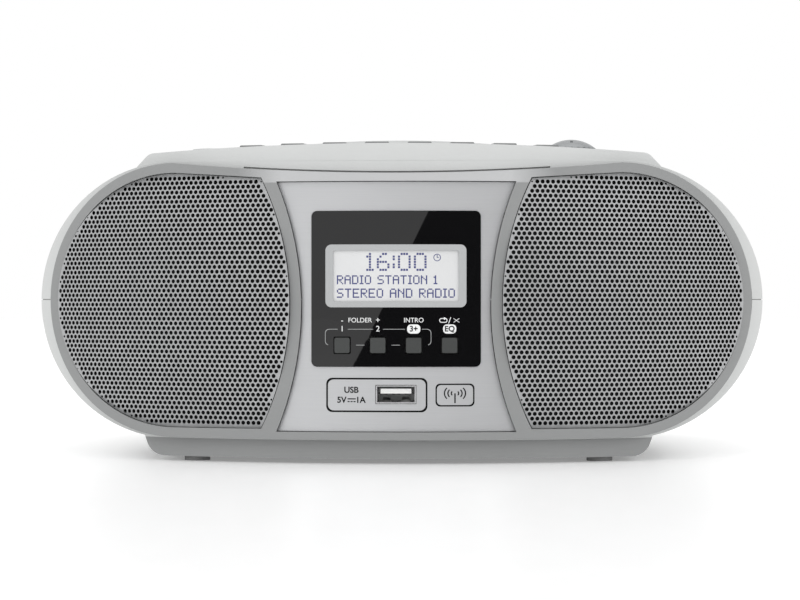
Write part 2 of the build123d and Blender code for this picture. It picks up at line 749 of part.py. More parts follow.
def cd_lid():
    """Crowned lid with a round window opening, hinge barrel and pins."""
    lid = lid_slab(LID_CREST_Z, LID_THICKNESS) & lid_outline(0)
    barrel = bar_x(LID_BARREL_RADIUS, -LID_TAB_HALF, LID_TAB_HALF, LID_AXIS_Y, LID_AXIS_Z)
    pins = bar_x(1.5, -LID_TAB_HALF - 3.2, LID_TAB_HALF + 3.2, LID_AXIS_Y, LID_AXIS_Z)
    window = upright(WINDOW_RADIUS, 100, 130, 0, WELL_Y)
    return lid - window + barrel + pins


def lid_window():
    """Smoked window filling the middle of the lid."""
    window = lid_slab(LID_CREST_Z - 0.2, LID_THICKNESS - 0.4)
    return window & upright(WINDOW_RADIUS - 0.06, 90, 130, 0, WELL_Y)


def disc_clamp():
    """Clamp plate hanging from the window over the hub."""
    plate = upright(14.0, WELL_FLOOR_Z + 4.6, WELL_FLOOR_Z + 7.0, 0, WELL_Y)
    neck = upright(6.0, WELL_FLOOR_Z + 7.0, LID_CREST_Z - LID_THICKNESS + 0.1, 0, WELL_Y)
    return plate + neck


def cd_well():
    """Round tub under the lid with a hub hole, laser slot and hinge shelf."""
    floor = WELL_FLOOR_Z
    tub = upright(WELL_RADIUS + 1.6, floor - 1.6, 108.8, 0, WELL_Y)
    rim = upright(WELL_RADIUS + 4.2, 107.4, 108.8, 0, WELL_Y)
    half = LID_TAB_HALF
    shelf = box_between(-half, half, 50, 87.4, 104.6, 106.2)
    well = tub + rim + shelf - upright(WELL_RADIUS, floor, 130, 0, WELL_Y)
    well = well - upright(15.0, 90, 130, 0, WELL_Y)
    slot_end = SLED_X + SLED_TRAVEL + 7
    return well - box_between(10, slot_end, WELL_Y - 7.5, WELL_Y + 7.5, 90, floor + 1)


def spindle_hub():
    """Turntable with its locating boss and shaft."""
    floor = WELL_FLOOR_Z
    table = upright(13.0, floor + 0.8, floor + 2.4, 0, WELL_Y)
    boss = upright(HUB_RADIUS, floor + 2.4, floor + 4.2, 0, WELL_Y)
    boss = chamfer(boss.edges().group_by(Axis.Z)[-1], 0.9)
    for third in range(3):
        angle = math.radians(120 * third)
        boss = boss - upright(
            0.9, floor + 2.4, floor + 5, 6.9 * math.cos(angle), WELL_Y + 6.9 * math.sin(angle),
        )
    return table + boss + upright(1.2, CHASSIS_Z - 5, floor + 1, 0, WELL_Y)


def spindle_motor():
    """Flat motor under the chassis, bored for the shaft."""
    motor = upright(11.3, CHASSIS_Z - 9, CHASSIS_Z, 0, WELL_Y)
    motor = motor + upright(4.0, CHASSIS_Z - 10.5, CHASSIS_Z - 9, 0, WELL_Y)
    return motor - upright(1.26, CHASSIS_Z - 6, CHASSIS_Z + 1, 0, WELL_Y)


def cd_chassis():
    """Pressed plate with end blocks for the rails and the lead screw."""
    low = CHASSIS_Z
    plate = box_between(-26, 73, WELL_Y - 28, WELL_Y + 20, low, low + 1.2)
    plate = plate - upright(4.0, low - 1, low + 3, 0, WELL_Y)
    slot_end = SLED_X + SLED_TRAVEL + 8
    plate = plate - box_between(13, slot_end, WELL_Y - 8, WELL_Y + 8, low - 1, low + 3)
    near = box_between(12.4, 15.0, WELL_Y - 16, WELL_Y - 10, RAIL_Z - 3, low)
    near = near + box_between(12.4, 15.0, WELL_Y + 10, WELL_Y + 16, RAIL_Z - 3, low)
    far = box_between(70, 73, WELL_Y - 28, WELL_Y + 17, RAIL_Z - 4, low)
    chassis = plate + near + far
    for side in (-1, 1):
        chassis = chassis - bar_x(1.5, 0, 73, WELL_Y + side * RAIL_SPACING, RAIL_Z)
    chassis = chassis - bar_x(1.06, 60, 72, SCREW_Y, RAIL_Z)
    for x in (-20, 50):
        for y in (WELL_Y - 24, WELL_Y + 16):
            chassis = chassis + upright(2.5, low + 1.2, WELL_FLOOR_Z - 1.6, x, y)
    return chassis


def sled_rails():
    """Two polished guide rods."""
    return [
        bar_x(1.5, 12.4, 73, WELL_Y + side * RAIL_SPACING, RAIL_Z) for side in (-1, 1)
    ]


def laser_sled():
    """Optical pickup on the rails, lens block up through the slot."""
    body = box_between(
        SLED_X - 8.5, SLED_X + 8.5, WELL_Y - 17, WELL_Y + 17, RAIL_Z - 3, RAIL_Z + 3.4,
    )
    nut = box_between(
        SLED_X - 3, SLED_X + 3, SCREW_Y - 3.5, WELL_Y - 16, RAIL_Z - 3, RAIL_Z + 3,
    )
    lens_block = box_between(
        SLED_X - 6, SLED_X + 6, WELL_Y - 6, WELL_Y + 6, RAIL_Z + 3, WELL_FLOOR_Z - 0.4,
    )
    lens = upright(2.6, WELL_FLOOR_Z - 0.5, WELL_FLOOR_Z + 0.6, SLED_X, WELL_Y)
    sled = body + nut + lens_block + lens
    for side in (-1, 1):
        sled = sled - bar_x(1.56, 0, 80, WELL_Y + side * RAIL_SPACING, RAIL_Z)
    return sled - bar_x(2.06, 0, 80, SCREW_Y, RAIL_Z)


def sled_motor():
    """Can motor that turns the lead screw."""
    motor = bar_x(6.5, -14, 11, SCREW_Y, RAIL_Z - 2.2) & box_between(
        -14, 11, SCREW_Y - 10, SCREW_Y + 10, RAIL_Z - 7.4, CHASSIS_Z,
    )
    motor = motor + bar_x(2.5, 11, 12.5, SCREW_Y, RAIL_Z)
    return motor - bar_x(1.06, 4, 14, SCREW_Y, RAIL_Z)


def lead_screw():
    """Lead screw with a flat at its motor end and plain stub ends."""
    screw = bar_x(2.0, 14, 69.4, SCREW_Y, RAIL_Z) + bar_x(1.0, 6, 71.5, SCREW_Y, RAIL_Z)
    screw = screw - box_between(14.0, 15.2, SCREW_Y - 3, SCREW_Y + 3, RAIL_Z + 1.2, RAIL_Z + 3)
    return screw


# ---------------------------------------------------------------------------
# Handle, antenna and battery bay
# ---------------------------------------------------------------------------

def carry_handle():
    """Bail handle: two arms, a rounded grip and two pivot stubs."""
    low = HANDLE_PIVOT_Z - HANDLE_ARM_HALF
    high = HANDLE_PIVOT_Z + HANDLE_ARM_HALF
    arm = box_between(
        HANDLE_ARM_IN, HANDLE_ARM_OUT, HANDLE_PIVOT_Y, HANDLE_GRIP_REAR_Y - 3, low, high,
    )
    arm = arm + bar_x(
        HANDLE_ARM_HALF, HANDLE_ARM_IN, HANDLE_ARM_OUT, HANDLE_PIVOT_Y, HANDLE_PIVOT_Z,
    )
    stub = bar_x(3.0, HANDLE_ARM_IN - 2.9, HANDLE_ARM_IN, HANDLE_PIVOT_Y, HANDLE_PIVOT_Z)
    side = arm + stub
    grip = box_between(
        -HANDLE_ARM_OUT, HANDLE_ARM_OUT, HANDLE_GRIP_FRONT_Y, HANDLE_GRIP_REAR_Y, low, high,
    )
    grip = fillet(grip.edges().filter_by(Axis.X), 2.6)
    return grip + side + mirrored(side)


def antenna_base():
    """Knuckle and outer tube of the telescopic antenna."""
    knuckle = bar_y(4.5, REAR_FACE_Y + 1.9, ANTENNA_Y + 2.3, ANTENNA_X, ANTENNA_Z)
    pin = bar_y(1.5, REAR_FACE_Y - 1.5, REAR_FACE_Y + 2.0, ANTENNA_X, ANTENNA_Z)
    end = ANTENNA_X - ANTENNA_LENGTH + 10
    tube = bar_x(ANTENNA_RADIUS, end, ANTENNA_X, ANTENNA_Y, ANTENNA_Z)
    tube = tube - bar_x(ANTENNA_RADIUS - 0.55, end - 1, ANTENNA_X - 8, ANTENNA_Y, ANTENNA_Z)
    return knuckle + pin + tube


def antenna_middle():
    """Middle tube, sliding inside the outer one."""
    end = ANTENNA_X - ANTENNA_LENGTH + 8
    tube = bar_x(1.9, end, ANTENNA_X - 12, ANTENNA_Y, ANTENNA_Z)
    return tube - bar_x(1.35, end - 1, ANTENNA_X - 16, ANTENNA_Y, ANTENNA_Z)


def antenna_tip():
    """Inner rod with the end button."""
    end = ANTENNA_X - ANTENNA_LENGTH + 6
    rod = bar_x(1.3, end, ANTENNA_X - 20, ANTENNA_Y, ANTENNA_Z)
    button = bar_x(2.4, end - 5, end, ANTENNA_Y, ANTENNA_Z)
    return rod + fillet(button.edges(), 0.8)


def battery_bay():
    """Tray for the cells, open to the rear."""
    wall = BAY_WALL
    tray = box_between(
        -BAY_HALF - wall, BAY_HALF + wall, BAY_FRONT_Y - wall, REAR_FACE_Y - 2.6,
        BAY_BOTTOM_Z - wall, BAY_TOP_Z + wall,
    )
    return tray - battery_space(0)


def battery_contacts():
    """Contact plates on the end walls and a coil spring on every other one."""
    pieces = []
    for side in (-1, 1):
        for row in range(2):
            y = BAY_FRONT_Y + 14 + 27 * row
            inner = side * BAY_HALF
            z = (BAY_BOTTOM_Z + BAY_TOP_Z) / 2
            plate = box_between(
                min(inner, inner - side * 0.5), max(inner, inner - side * 0.5),
                y - 9, y + 9, z - 9, z + 9,
            )
            if row == (side + 1) // 2:
                coil = Helix(pitch=2.2, height=6.6, radius=4.5)
                wire = Plane(origin=coil @ 0, z_dir=coil % 0) * Circle(0.4)
                spring = sweep(wire, path=coil)
                place = Pos(inner - side * 0.7, y, z) * Rot(0, -90 * side, 0)
                plate = plate + place * spring
            pieces.append(plate)
    return pieces


def battery_cover():
    """Door in the rear face with five finger grooves."""
    rear = REAR_FACE_Y
    half = BAY_HALF + 0.9
    low = BAY_BOTTOM_Z - 0.9
    door = box_between(-half, half, rear - DOOR_THICKNESS, rear, low, BAY_TOP_Z + 0.9)
    for groove in range(5):
        z = BAY_TOP_Z - 8 + 1.6 * groove
        door = door - box_between(-12, 12, rear - 0.6, rear + 1, z, z + 0.8)
    return door


# ---------------------------------------------------------------------------
# Boards, sockets and wiring
# ---------------------------------------------------------------------------

def usb_receptacle():
    """Metal shell of the USB port with its rear wall."""
    front = bow_depth(0, 197.8)
    half = USB_WIDTH / 2
    low = USB_Z - USB_HEIGHT / 2
    high = USB_Z + USB_HEIGHT / 2
    shell = box_between(-half, half, front, front + USB_DEPTH, low, high)
    return shell - box_between(
        -half + 0.4, half - 0.4, front - 1, front + USB_DEPTH - 1.2, low + 0.4, high - 0.4,
    )


def usb_tongue():
    """Insulating tongue that carries the four contacts."""
    front = bow_depth(0, 197.8)
    half = USB_WIDTH / 2
    blade = box_between(-5.35, 5.35, front + 0.8, front + 12, USB_Z + 0.2, USB_Z + 2.0)
    rear = box_between(
        -half + 0.5, half - 0.5, front + 10.5, front + 12.7, USB_Z - 2.6, USB_Z + 2.6,
    )
    tongue = blade + rear
    for place in (-3.5, -1.0, 1.0, 3.5):
        tongue = tongue + box_between(
            place - 0.5, place + 0.5, front + 1.2, front + 10.5, USB_Z + 0.0, USB_Z + 0.3,
        )
    return tongue


def main_board():
    """Main board, its front edge following the bow."""
    top = MAIN_BOARD_TOP
    board = box_between(-50, 50, -105, 36, top - BOARD_THICKNESS, top)
    return board & bow_core(192.0)


def front_board():
    """Upright board behind the display and keys."""
    return box_between(-31, 31, FRONT_BOARD_Y, FRONT_BOARD_Y + BOARD_THICKNESS, 31, 92)


def capacitors():
    """Reservoir and coupling capacitors on the main board."""
    places = [(-30, 10, 6.3, 25), (-14, 14, 6.3, 25), (8, 12, 4.0, 12), (20, 12, 4.0, 12)]
    return [upright(radius, MAIN_BOARD_TOP, MAIN_BOARD_TOP + tall, x, y)
            for x, y, radius, tall in places]


def board_chips():
    """Processor and memory packages."""
    places = [(0, -40, 14), (-22, -46, 10), (22, -30, 9)]
    return [box_between(x - half / 2, x + half / 2, y - half / 2, y + half / 2,
                        MAIN_BOARD_TOP, MAIN_BOARD_TOP + 1.6) for x, y, half in places]


def radio_module():
    """Screened tuner module with folded tabs."""
    top = MAIN_BOARD_TOP
    can = box_between(-28, -2, -22, -4, top, top + 4.0)
    lid = box_between(-28.4, -1.6, -22.4, -3.6, top + 3.0, top + 4.6)
    return can + lid


def amplifier_heatsink():
    """Finned block on the amplifier chip."""
    top = MAIN_BOARD_TOP
    sink = box_between(16, 44, -14, -8, top, top + 20)
    for fin in range(6):
        x = 16 + 5.2 * fin
        sink = sink + box_between(x, x + 2, -8, 0, top + 2, top + 20)
    return sink


def transformer():
    """Mains transformer: laminated core round a wound bobbin."""
    core = box_between(-110, -84, 48, 78, TRANSFORMER_Z, TRANSFORMER_Z + 24)
    core = core - box_between(-105, -89, 47, 79, TRANSFORMER_Z + 5, TRANSFORMER_Z + 19)
    coil = box_between(-106, -88, 45.5, 80.5, TRANSFORMER_Z + 4, TRANSFORMER_Z + 20)
    return core + fillet(coil.edges().filter_by(Axis.X), 3)


def ac_inlet():
    """Two-pin mains inlet with its shaped recess."""
    x = -SOCKET_X
    body = box_between(x - 10.3, x + 10.3, 84, REAR_FACE_Y, SOCKET_Z - 7.3, SOCKET_Z + 7.3)
    body = fillet(body.edges().filter_by(Axis.Y), 2)
    for side in (-1, 1):
        body = body - bar_y(4.4, 89, 110, x + side * 4.3, SOCKET_Z)
    body = body - box_between(x - 4.3, x + 4.3, 89, 110, SOCKET_Z - 2.6, SOCKET_Z + 2.6)
    for side in (-1, 1):
        body = body + bar_y(1.2, 88, 98, x + side * 4.3, SOCKET_Z)
    return body


def headphone_jack():
    """Stereo jack socket."""
    body = box_between(SOCKET_X - 5, SOCKET_X + 5, 84, 96.5, SOCKET_Z - 5, SOCKET_Z + 5)
    bush = bar_y(3.7, 96, REAR_FACE_Y + 0.6, SOCKET_X, SOCKET_Z)
    return body + bush - bar_y(1.78, 86, 110, SOCKET_X, SOCKET_Z)


def speaker_wires():
    """Pair of leads from each speaker to the main board."""
    wires = []
    for side in (-1, 1):
        for lead in (0, 4):
            start = (side * 52, -36 + lead, 40)
            middle = (side * 47, -28 + lead, 30)
            path = Spline(start, middle, (side * 40, -26 + lead, MAIN_BOARD_TOP + 0.8))
            wire = Plane(origin=start, z_dir=path % 0) * Circle(0.7)
            wires.append(sweep(wire, path=path))
    return wires


# ---------------------------------------------------------------------------
# Every node to its own file
# ---------------------------------------------------------------------------

def save(name, shape):
    """Write one node; a list of solids becomes one group."""
    if isinstance(shape, list):
        shape = Compound(children=shape)
    export_step(shape, "parts/" + name + ".step")


def save_pair(left_name, right_name, right_shape):
    """Write a right-hand piece and its mirror image."""
    save(right_name, right_shape)
    save(left_name, mirrored(right_shape))


body = housing_body()
save("upper_housing", upper_housing(body))
save("lower_housing", lower_housing(body))
save("rubber_feet", [rubber_foot(x, y) for x, y in foot_places()])
save("housing_screws", [housing_screw(x, y, base) for x, y, floor, base in post_places()])

save("front_bezel", front_bezel())
save_pair("left_grille", "right_grille", right_grille())
save("centre_panel", centre_panel())
save("display_panel", display_panel())
save("lcd_frame", lcd_frame())
save("lcd_module", lcd_module())
for number in range(4):
    save("front_key_" + str(number + 1), front_key(number))

save("speaker_baffles", [speaker_seat(side) * speaker_baffle() for side in (-1, 1)])
save("speaker_frames", [speaker_seat(side) * speaker_frame() for side in (-1, 1)])
save("speaker_magnets", [speaker_seat(side) * speaker_magnet() for side in (-1, 1)])
save("left_cone", speaker_seat(-1) * speaker_cone())
save("right_cone", speaker_seat(1) * speaker_cone())

for number, (x, y) in enumerate(key_places()):
    save("top_key_" + str(number + 1), top_key(x, y))
save("standby_button", standby_button())
save("volume_knob", volume_knob())
save("volume_encoder", volume_encoder())
save("key_board", key_board())
top_switches = [
    Pos(x, y, KEY_BOARD_TOP) * tact_switch(SWITCH_HEIGHT) for x, y in key_switch_places()
]
front_switches = [
    Pos(front_key_x(number), FRONT_BOARD_Y, FRONT_KEY_Z) * Rot(90, 0, 0) * tact_switch(3.5)
    for number in range(4)
]
save("push_switches", top_switches + front_switches)

save("cd_lid", cd_lid())
save("lid_window", lid_window())
save("disc_clamp", disc_clamp())
save("cd_well", cd_well())
save("cd_chassis", cd_chassis())
save("spindle_motor", spindle_motor())
save("spindle_hub", spindle_hub())
save("sled_rails", sled_rails())
save("laser_sled", laser_sled())
save("sled_motor", sled_motor())
save("lead_screw", lead_screw())

save("carry_handle", carry_handle())
save("antenna_base", antenna_base())
save("antenna_middle", antenna_middle())
save("antenna_tip", antenna_tip())
save("battery_bay", battery_bay())
save("battery_contacts", battery_contacts())
save("battery_cover", battery_cover())

save("usb_receptacle", usb_receptacle())
save("usb_tongue", usb_tongue())
save("main_board", main_board())
save("front_board", front_board())
save("board_parts", capacitors() + board_chips() + [radio_module(), amplifier_heatsink()])
save("transformer", transformer())
save("ac_inlet", ac_inlet())
save("headphone_jack", headphone_jack())
save("speaker_wires", speaker_wires())
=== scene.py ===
import bpy
import math
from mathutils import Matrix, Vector
from mathutils.geometry import intersect_point_line


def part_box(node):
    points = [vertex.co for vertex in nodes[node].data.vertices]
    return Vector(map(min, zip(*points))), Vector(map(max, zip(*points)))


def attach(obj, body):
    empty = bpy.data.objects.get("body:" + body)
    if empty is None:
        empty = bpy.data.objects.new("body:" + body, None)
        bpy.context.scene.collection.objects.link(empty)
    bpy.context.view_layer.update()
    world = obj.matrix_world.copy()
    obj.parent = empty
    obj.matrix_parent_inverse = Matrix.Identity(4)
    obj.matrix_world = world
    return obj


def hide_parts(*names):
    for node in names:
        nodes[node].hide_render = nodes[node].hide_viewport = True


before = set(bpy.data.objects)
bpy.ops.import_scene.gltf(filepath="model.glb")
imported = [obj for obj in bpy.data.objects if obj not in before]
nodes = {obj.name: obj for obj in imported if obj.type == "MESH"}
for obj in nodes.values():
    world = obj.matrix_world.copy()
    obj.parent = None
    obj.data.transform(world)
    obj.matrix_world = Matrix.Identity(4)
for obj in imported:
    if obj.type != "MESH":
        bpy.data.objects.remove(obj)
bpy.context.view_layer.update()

# ---------------------------------------------------------------------------
# Sizes, in metres, in the frame of the CAD model
# ---------------------------------------------------------------------------

MM = 0.001
bezel_low, bezel_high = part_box("front_bezel")
gloss_low, gloss_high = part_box("display_panel")
panel_low, panel_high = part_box("centre_panel")
lcd_low, lcd_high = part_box("lcd_frame")
usb_low, usb_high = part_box("usb_receptacle")
grille_low, grille_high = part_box("right_grille")

FRONT_Y = bezel_low.y
BOW_RADIUS = 200 * MM                    # plan radius of the bowed front
BOW_Y = FRONT_Y + BOW_RADIUS
PANEL_RADIUS = 198 * MM
GLOSS_RADIUS = 199 * MM
LCD_RADIUS = 198.8 * MM
GRILLE_CREST = 201.9 * MM
GRILLE_DOME = 230 * MM
AXIS_Z = (grille_low.z + grille_high.z) / 2
PERFORATION_PITCH = 1.92 * MM
PERFORATION_RADIUS = 0.75 * MM
EDGE_LAND = 0.14 * MM                    # metal left between a hole and the sheet edge
SMALLEST_HOLE = 0.25 * MM
SHEET_DEPTH = 0.7 * MM
PRINT_LIFT = 0.03 * MM                   # printed marks and dots stand this far off their surface
EDGE_DEPTH = 1.6 * MM                    # how far the rolled edge turns back
CLOTH_DEPTH = 2.2 * MM                   # dust cloth behind the sheet
SEAM_INSET = 0.45 * MM                   # depth of the tongue behind the outer skin
USB_MIDDLE_Z = (usb_low.z + usb_high.z) / 2
BEZEL_HIGHLIGHT_FADE_START = 40 * MM               # the painted highlight on the bezel fades to its own mid grey
BEZEL_HIGHLIGHT_FADE_END = 56 * MM

CAMERA_DISTANCE = 850 * MM
CAMERA_AZIMUTH = math.radians(1.7)
CAMERA_HEIGHT = 57.3 * MM
CAMERA_AIM_X = 1.5 * MM


def bow_depth(x, radius):
    """Depth of the bowed front of a radius at a distance from the middle."""
    return BOW_Y - math.sqrt(radius ** 2 - x ** 2)


# ---------------------------------------------------------------------------
# Materials
# ---------------------------------------------------------------------------

def new_material(name, colour, roughness, metallic=0.0):
    """Principled material with its constant values on the shader itself."""
    material = bpy.data.materials.new(name)
    material.use_nodes = True
    shader = material.node_tree.nodes["Principled BSDF"]
    shader.inputs["Base Color"].default_value = (*colour, 1.0)
    shader.inputs["Roughness"].default_value = roughness
    shader.inputs["Metallic"].default_value = metallic
    return material, material.node_tree, shader


def place_noise(tree, scale, detail, stretch=(1, 1, 1)):
    """Object-space noise, optionally stretched along an axis."""
    coords = tree.nodes.new("ShaderNodeTexCoord")
    mapping = tree.nodes.new("ShaderNodeMapping")
    mapping.inputs["Scale"].default_value = stretch
    noise = tree.nodes.new("ShaderNodeTexNoise")
    noise.inputs["Scale"].default_value = scale
    noise.inputs["Detail"].default_value = detail
    tree.links.new(coords.outputs["Object"], mapping.inputs["Vector"])
    tree.links.new(mapping.outputs["Vector"], noise.inputs["Vector"])
    return noise.outputs["Fac"]


def spread(tree, value, low, high):
    """Map a 0..1 noise onto a range of numbers."""
    node = tree.nodes.new("ShaderNodeMapRange")
    node.inputs["From Min"].default_value = 0.3
    node.inputs["From Max"].default_value = 0.7
    node.inputs["To Min"].default_value = low
    node.inputs["To Max"].default_value = high
    tree.links.new(value, node.inputs["Value"])
    return node.outputs["Result"]


def tint(tree, shader, value, dark, light):
    """Vary the base colour between two close shades."""
    ramp = tree.nodes.new("ShaderNodeValToRGB")
    ramp.color_ramp.elements[0].position = 0.3
    ramp.color_ramp.elements[1].position = 0.7
    ramp.color_ramp.elements[0].color = (*dark, 1)
    ramp.color_ramp.elements[1].color = (*light, 1)
    tree.links.new(value, ramp.inputs["Fac"])
    tree.links.new(ramp.outputs["Color"], shader.inputs["Base Color"])


def bump(tree, shader, height, distance, strength):
    """Small relief from a noise height."""
    node = tree.nodes.new("ShaderNodeBump")
    node.inputs["Distance"].default_value = distance
    node.inputs["Strength"].default_value = strength
    tree.links.new(height, node.inputs["Height"])
    tree.links.new(node.outputs["Normal"], shader.inputs["Normal"])


def scaled(colour, factor):
    """The same colour, lighter or darker."""
    return tuple(min(1.0, part * factor) for part in colour)


def moulded(name, colour, roughness=0.42, grain=2600, relief=0.25):
    """Satin moulded plastic: fine spark-eroded grain and faint handling wear."""
    material, tree, shader = new_material(name, colour, roughness)
    fine = place_noise(tree, grain, 3)
    broad = place_noise(tree, 22, 4)
    tint(tree, shader, broad, scaled(colour, 0.975), scaled(colour, 1.02))
    tree.links.new(spread(tree, broad, roughness - 0.05, roughness + 0.07), shader.inputs["Roughness"])
    bump(tree, shader, fine, 0.00004, relief)
    return material


def step_between(tree, axis, low, high, mirror=False):
    """0 below one object-space coordinate and 1 above another, smooth between."""
    coords = tree.nodes.new("ShaderNodeTexCoord")
    split = tree.nodes.new("ShaderNodeSeparateXYZ")
    tree.links.new(coords.outputs["Object"], split.inputs["Vector"])
    value = split.outputs[axis]
    if mirror:
        size = tree.nodes.new("ShaderNodeMath")
        size.operation = "ABSOLUTE"
        tree.links.new(value, size.inputs[0])
        value = size.outputs["Value"]
    ramp = tree.nodes.new("ShaderNodeMapRange")
    ramp.inputs["From Min"].default_value = low
    ramp.inputs["From Max"].default_value = high
    tree.links.new(value, ramp.inputs["Value"])
    return ramp.outputs["Result"]


def second_tone(material, colour, mask):
    """Blend a second colour over a material's own where the mask is 1."""
    tree = material.node_tree
    shader = tree.nodes["Principled BSDF"]
    first = shader.inputs["Base Color"].links[0].from_socket
    mix = tree.nodes.new("ShaderNodeMix")
    mix.data_type = "RGBA"
    tree.links.new(mask, mix.inputs["Factor"])
    tree.links.new(first, mix.inputs["A"])
    mix.inputs["B"].default_value = (*colour, 1)
    tree.links.new(mix.outputs["Result"], shader.inputs["Base Color"])
    return material


def brushed(name, colour, roughness=0.34, stretch=(12, 12, 900), metallic=1.0, contrast=0.09):
    """Metal or metallic finish with fine brush lines along X."""
    material, tree, shader = new_material(name, colour, roughness, metallic)
    lines = place_noise(tree, 6, 4, stretch)
    broad = place_noise(tree, 30, 3)
    tint(tree, shader, lines, scaled(colour, 1 - contrast), scaled(colour, 1 + contrast))
    tree.links.new(spread(tree, broad, roughness - 0.04, roughness + 0.06), shader.inputs["Roughness"])
    bump(tree, shader, lines, 0.00003, 0.25)
    return material


def polished(name, colour, roughness=0.12, metallic=1.0):
    """Drawn or plated metal with faint smears."""
    material, tree, shader = new_material(name, colour, roughness, metallic)
    smear = place_noise(tree, 90, 4)
    tree.links.new(spread(tree, smear, roughness * 0.7, roughness * 1.6), shader.inputs["Roughness"])
    bump(tree, shader, smear, 0.00002, 0.1)
    return material


def glossy(name, colour, roughness=0.012):
    """High-gloss plastic with a thin clear coat and faint wipe marks."""
    material, tree, shader = new_material(name, colour, roughness)
    shader.inputs["Coat Weight"].default_value = 0.03
    shader.inputs["Coat Roughness"].default_value = 0.01
    wipe = place_noise(tree, 40, 5, (1, 1, 3))
    tree.links.new(spread(tree, wipe, roughness * 0.8, roughness * 1.8), shader.inputs["Roughness"])
    return material


def printed(name, colour):
    """Flat screen-printed ink with little shine of its own."""
    material = moulded(name, colour, 0.6)
    material.node_tree.nodes["Principled BSDF"].inputs["Specular IOR Level"].default_value = 0.12
    return material


def glowing(name, colour, strength):
    """Backlit face."""
    material, tree, shader = new_material(name, colour, 0.3)
    shader.inputs["Emission Color"].default_value = (*colour, 1)
    shader.inputs["Emission Strength"].default_value = strength
    soft = place_noise(tree, 60, 2)
    tint(tree, shader, soft, scaled(colour, 0.96), scaled(colour, 1.0))
    return material


def woven(name, colour):
    """Fine cloth behind the grilles."""
    material, tree, shader = new_material(name, colour, 0.95)
    weave = place_noise(tree, 900, 2, (1, 1, 3))
    tint(tree, shader, weave, scaled(colour, 0.5), scaled(colour, 1.6))
    bump(tree, shader, weave, 0.0002, 0.6)
    return material


LIGHT_GREY = (0.62, 0.63, 0.625)
MID_GREY = (0.275, 0.28, 0.28)

shell_light = moulded("shell_light", LIGHT_GREY)
# Lower housing: the dark grey below the bezel's bottom edge is painted shade on the plinth. Above it is
# the shell's own light grey, which leaves a thin painted highlight line just under the bezel
plinth_painted_shade = moulded("plinth_painted_shade", (0.285, 0.29, 0.29))
second_tone(
    plinth_painted_shade, LIGHT_GREY,
    step_between(plinth_painted_shade.node_tree, "Z", bezel_low.z - 0.4 * MM, bezel_low.z - 0.3 * MM),
)
# Bezel in its own mid grey, with a painted highlight in lighter grey across the middle of the upper rail:
# above the centre panel's top and within 40 to 56 mm of the middle
bezel_grey = moulded("bezel_grey", (0.50, 0.505, 0.51), 0.38)
second_tone(
    bezel_grey, MID_GREY,
    step_between(bezel_grey.node_tree, "X", BEZEL_HIGHLIGHT_FADE_START, BEZEL_HIGHLIGHT_FADE_END, mirror=True),
)
second_tone(
    bezel_grey, MID_GREY,
    step_between(bezel_grey.node_tree, "Z", panel_high.z + 0.1 * MM, panel_high.z - 0.3 * MM),
)
lid_light = moulded("lid_light", (0.665, 0.675, 0.67), 0.36)
key_grey = moulded("key_grey", (0.20, 0.205, 0.205), 0.4)
knob_grey = brushed("knob_grey", (0.27, 0.28, 0.285), 0.35, (300, 300, 8), 0.6)
handle_grey = moulded("handle_grey", (0.27, 0.275, 0.275), 0.45)
front_key = moulded("front_key", (0.040, 0.043, 0.042), 0.36)
inner_black = moulded("inner_black", (0.018, 0.018, 0.018), 0.6)
grille_metal = brushed("grille_metal", (0.405, 0.41, 0.415), 0.40, (60, 60, 60), 0.45)
panel_brushed = brushed("panel_brushed", (0.545, 0.55, 0.56), 0.4, (12, 12, 700), 0.85, 0.02)
gloss_black = glossy("gloss_black", (0.0045, 0.0045, 0.005))
window_smoke = glossy("window_smoke", (0.03, 0.03, 0.032), 0.06)
rim_pale = moulded("rim_pale", (0.43, 0.44, 0.445), 0.35)
lcd_pale = glowing("lcd_pale", (0.67, 0.675, 0.68), 0.06)
lcd_ink = moulded("lcd_ink", (0.05, 0.06, 0.20), 0.5)
usb_two_tone = moulded("usb_two_tone", (0.02, 0.02, 0.02), 0.4)
second_tone(
    usb_two_tone, (0.80, 0.80, 0.79),
    step_between(
        usb_two_tone.node_tree, "Z", USB_MIDDLE_Z + 0.30 * MM, USB_MIDDLE_Z + 0.32 * MM,
    ),
)
second_tone(
    usb_two_tone, (0.60, 0.61, 0.60),
    step_between(
        usb_two_tone.node_tree, "Z", USB_MIDDLE_Z - 0.02 * MM, USB_MIDDLE_Z - 0.04 * MM,
    ),
)
legend_white = moulded("legend_white", (0.85, 0.86, 0.86), 0.5)
legend_grey = moulded("legend_grey", (0.42, 0.43, 0.43), 0.5)
legend_black = printed("legend_black", (0.004, 0.004, 0.004))
foot_rubber = moulded("foot_rubber", (0.24, 0.24, 0.24), 0.8, 1400, 0.5)
sheet_steel = brushed("sheet_steel", (0.55, 0.55, 0.56), 0.3)
spring_steel = polished("spring_steel", (0.78, 0.78, 0.77), 0.35)
# dark grey of the seam strips is painted shade in the gap between the housing halves
seam_painted_shade = moulded("seam_painted_shade", (0.30, 0.305, 0.30), 0.5)
chrome = polished("chrome", (0.80, 0.80, 0.81), 0.08)
steel_bright = polished("steel_bright", (0.62, 0.62, 0.63), 0.2)
board_green = moulded("board_green", (0.02, 0.13, 0.06), 0.35, 700, 0.3)
brass = polished("brass", (0.60, 0.44, 0.18), 0.25)
winding = moulded("winding", (0.17, 0.13, 0.10), 0.5, 900, 0.5)
lead_red = moulded("lead_red", (0.42, 0.03, 0.025), 0.45)
cloth_black = woven("cloth_black", (0.006, 0.006, 0.006))
cone_paper = woven("cone_paper", (0.02, 0.02, 0.02))

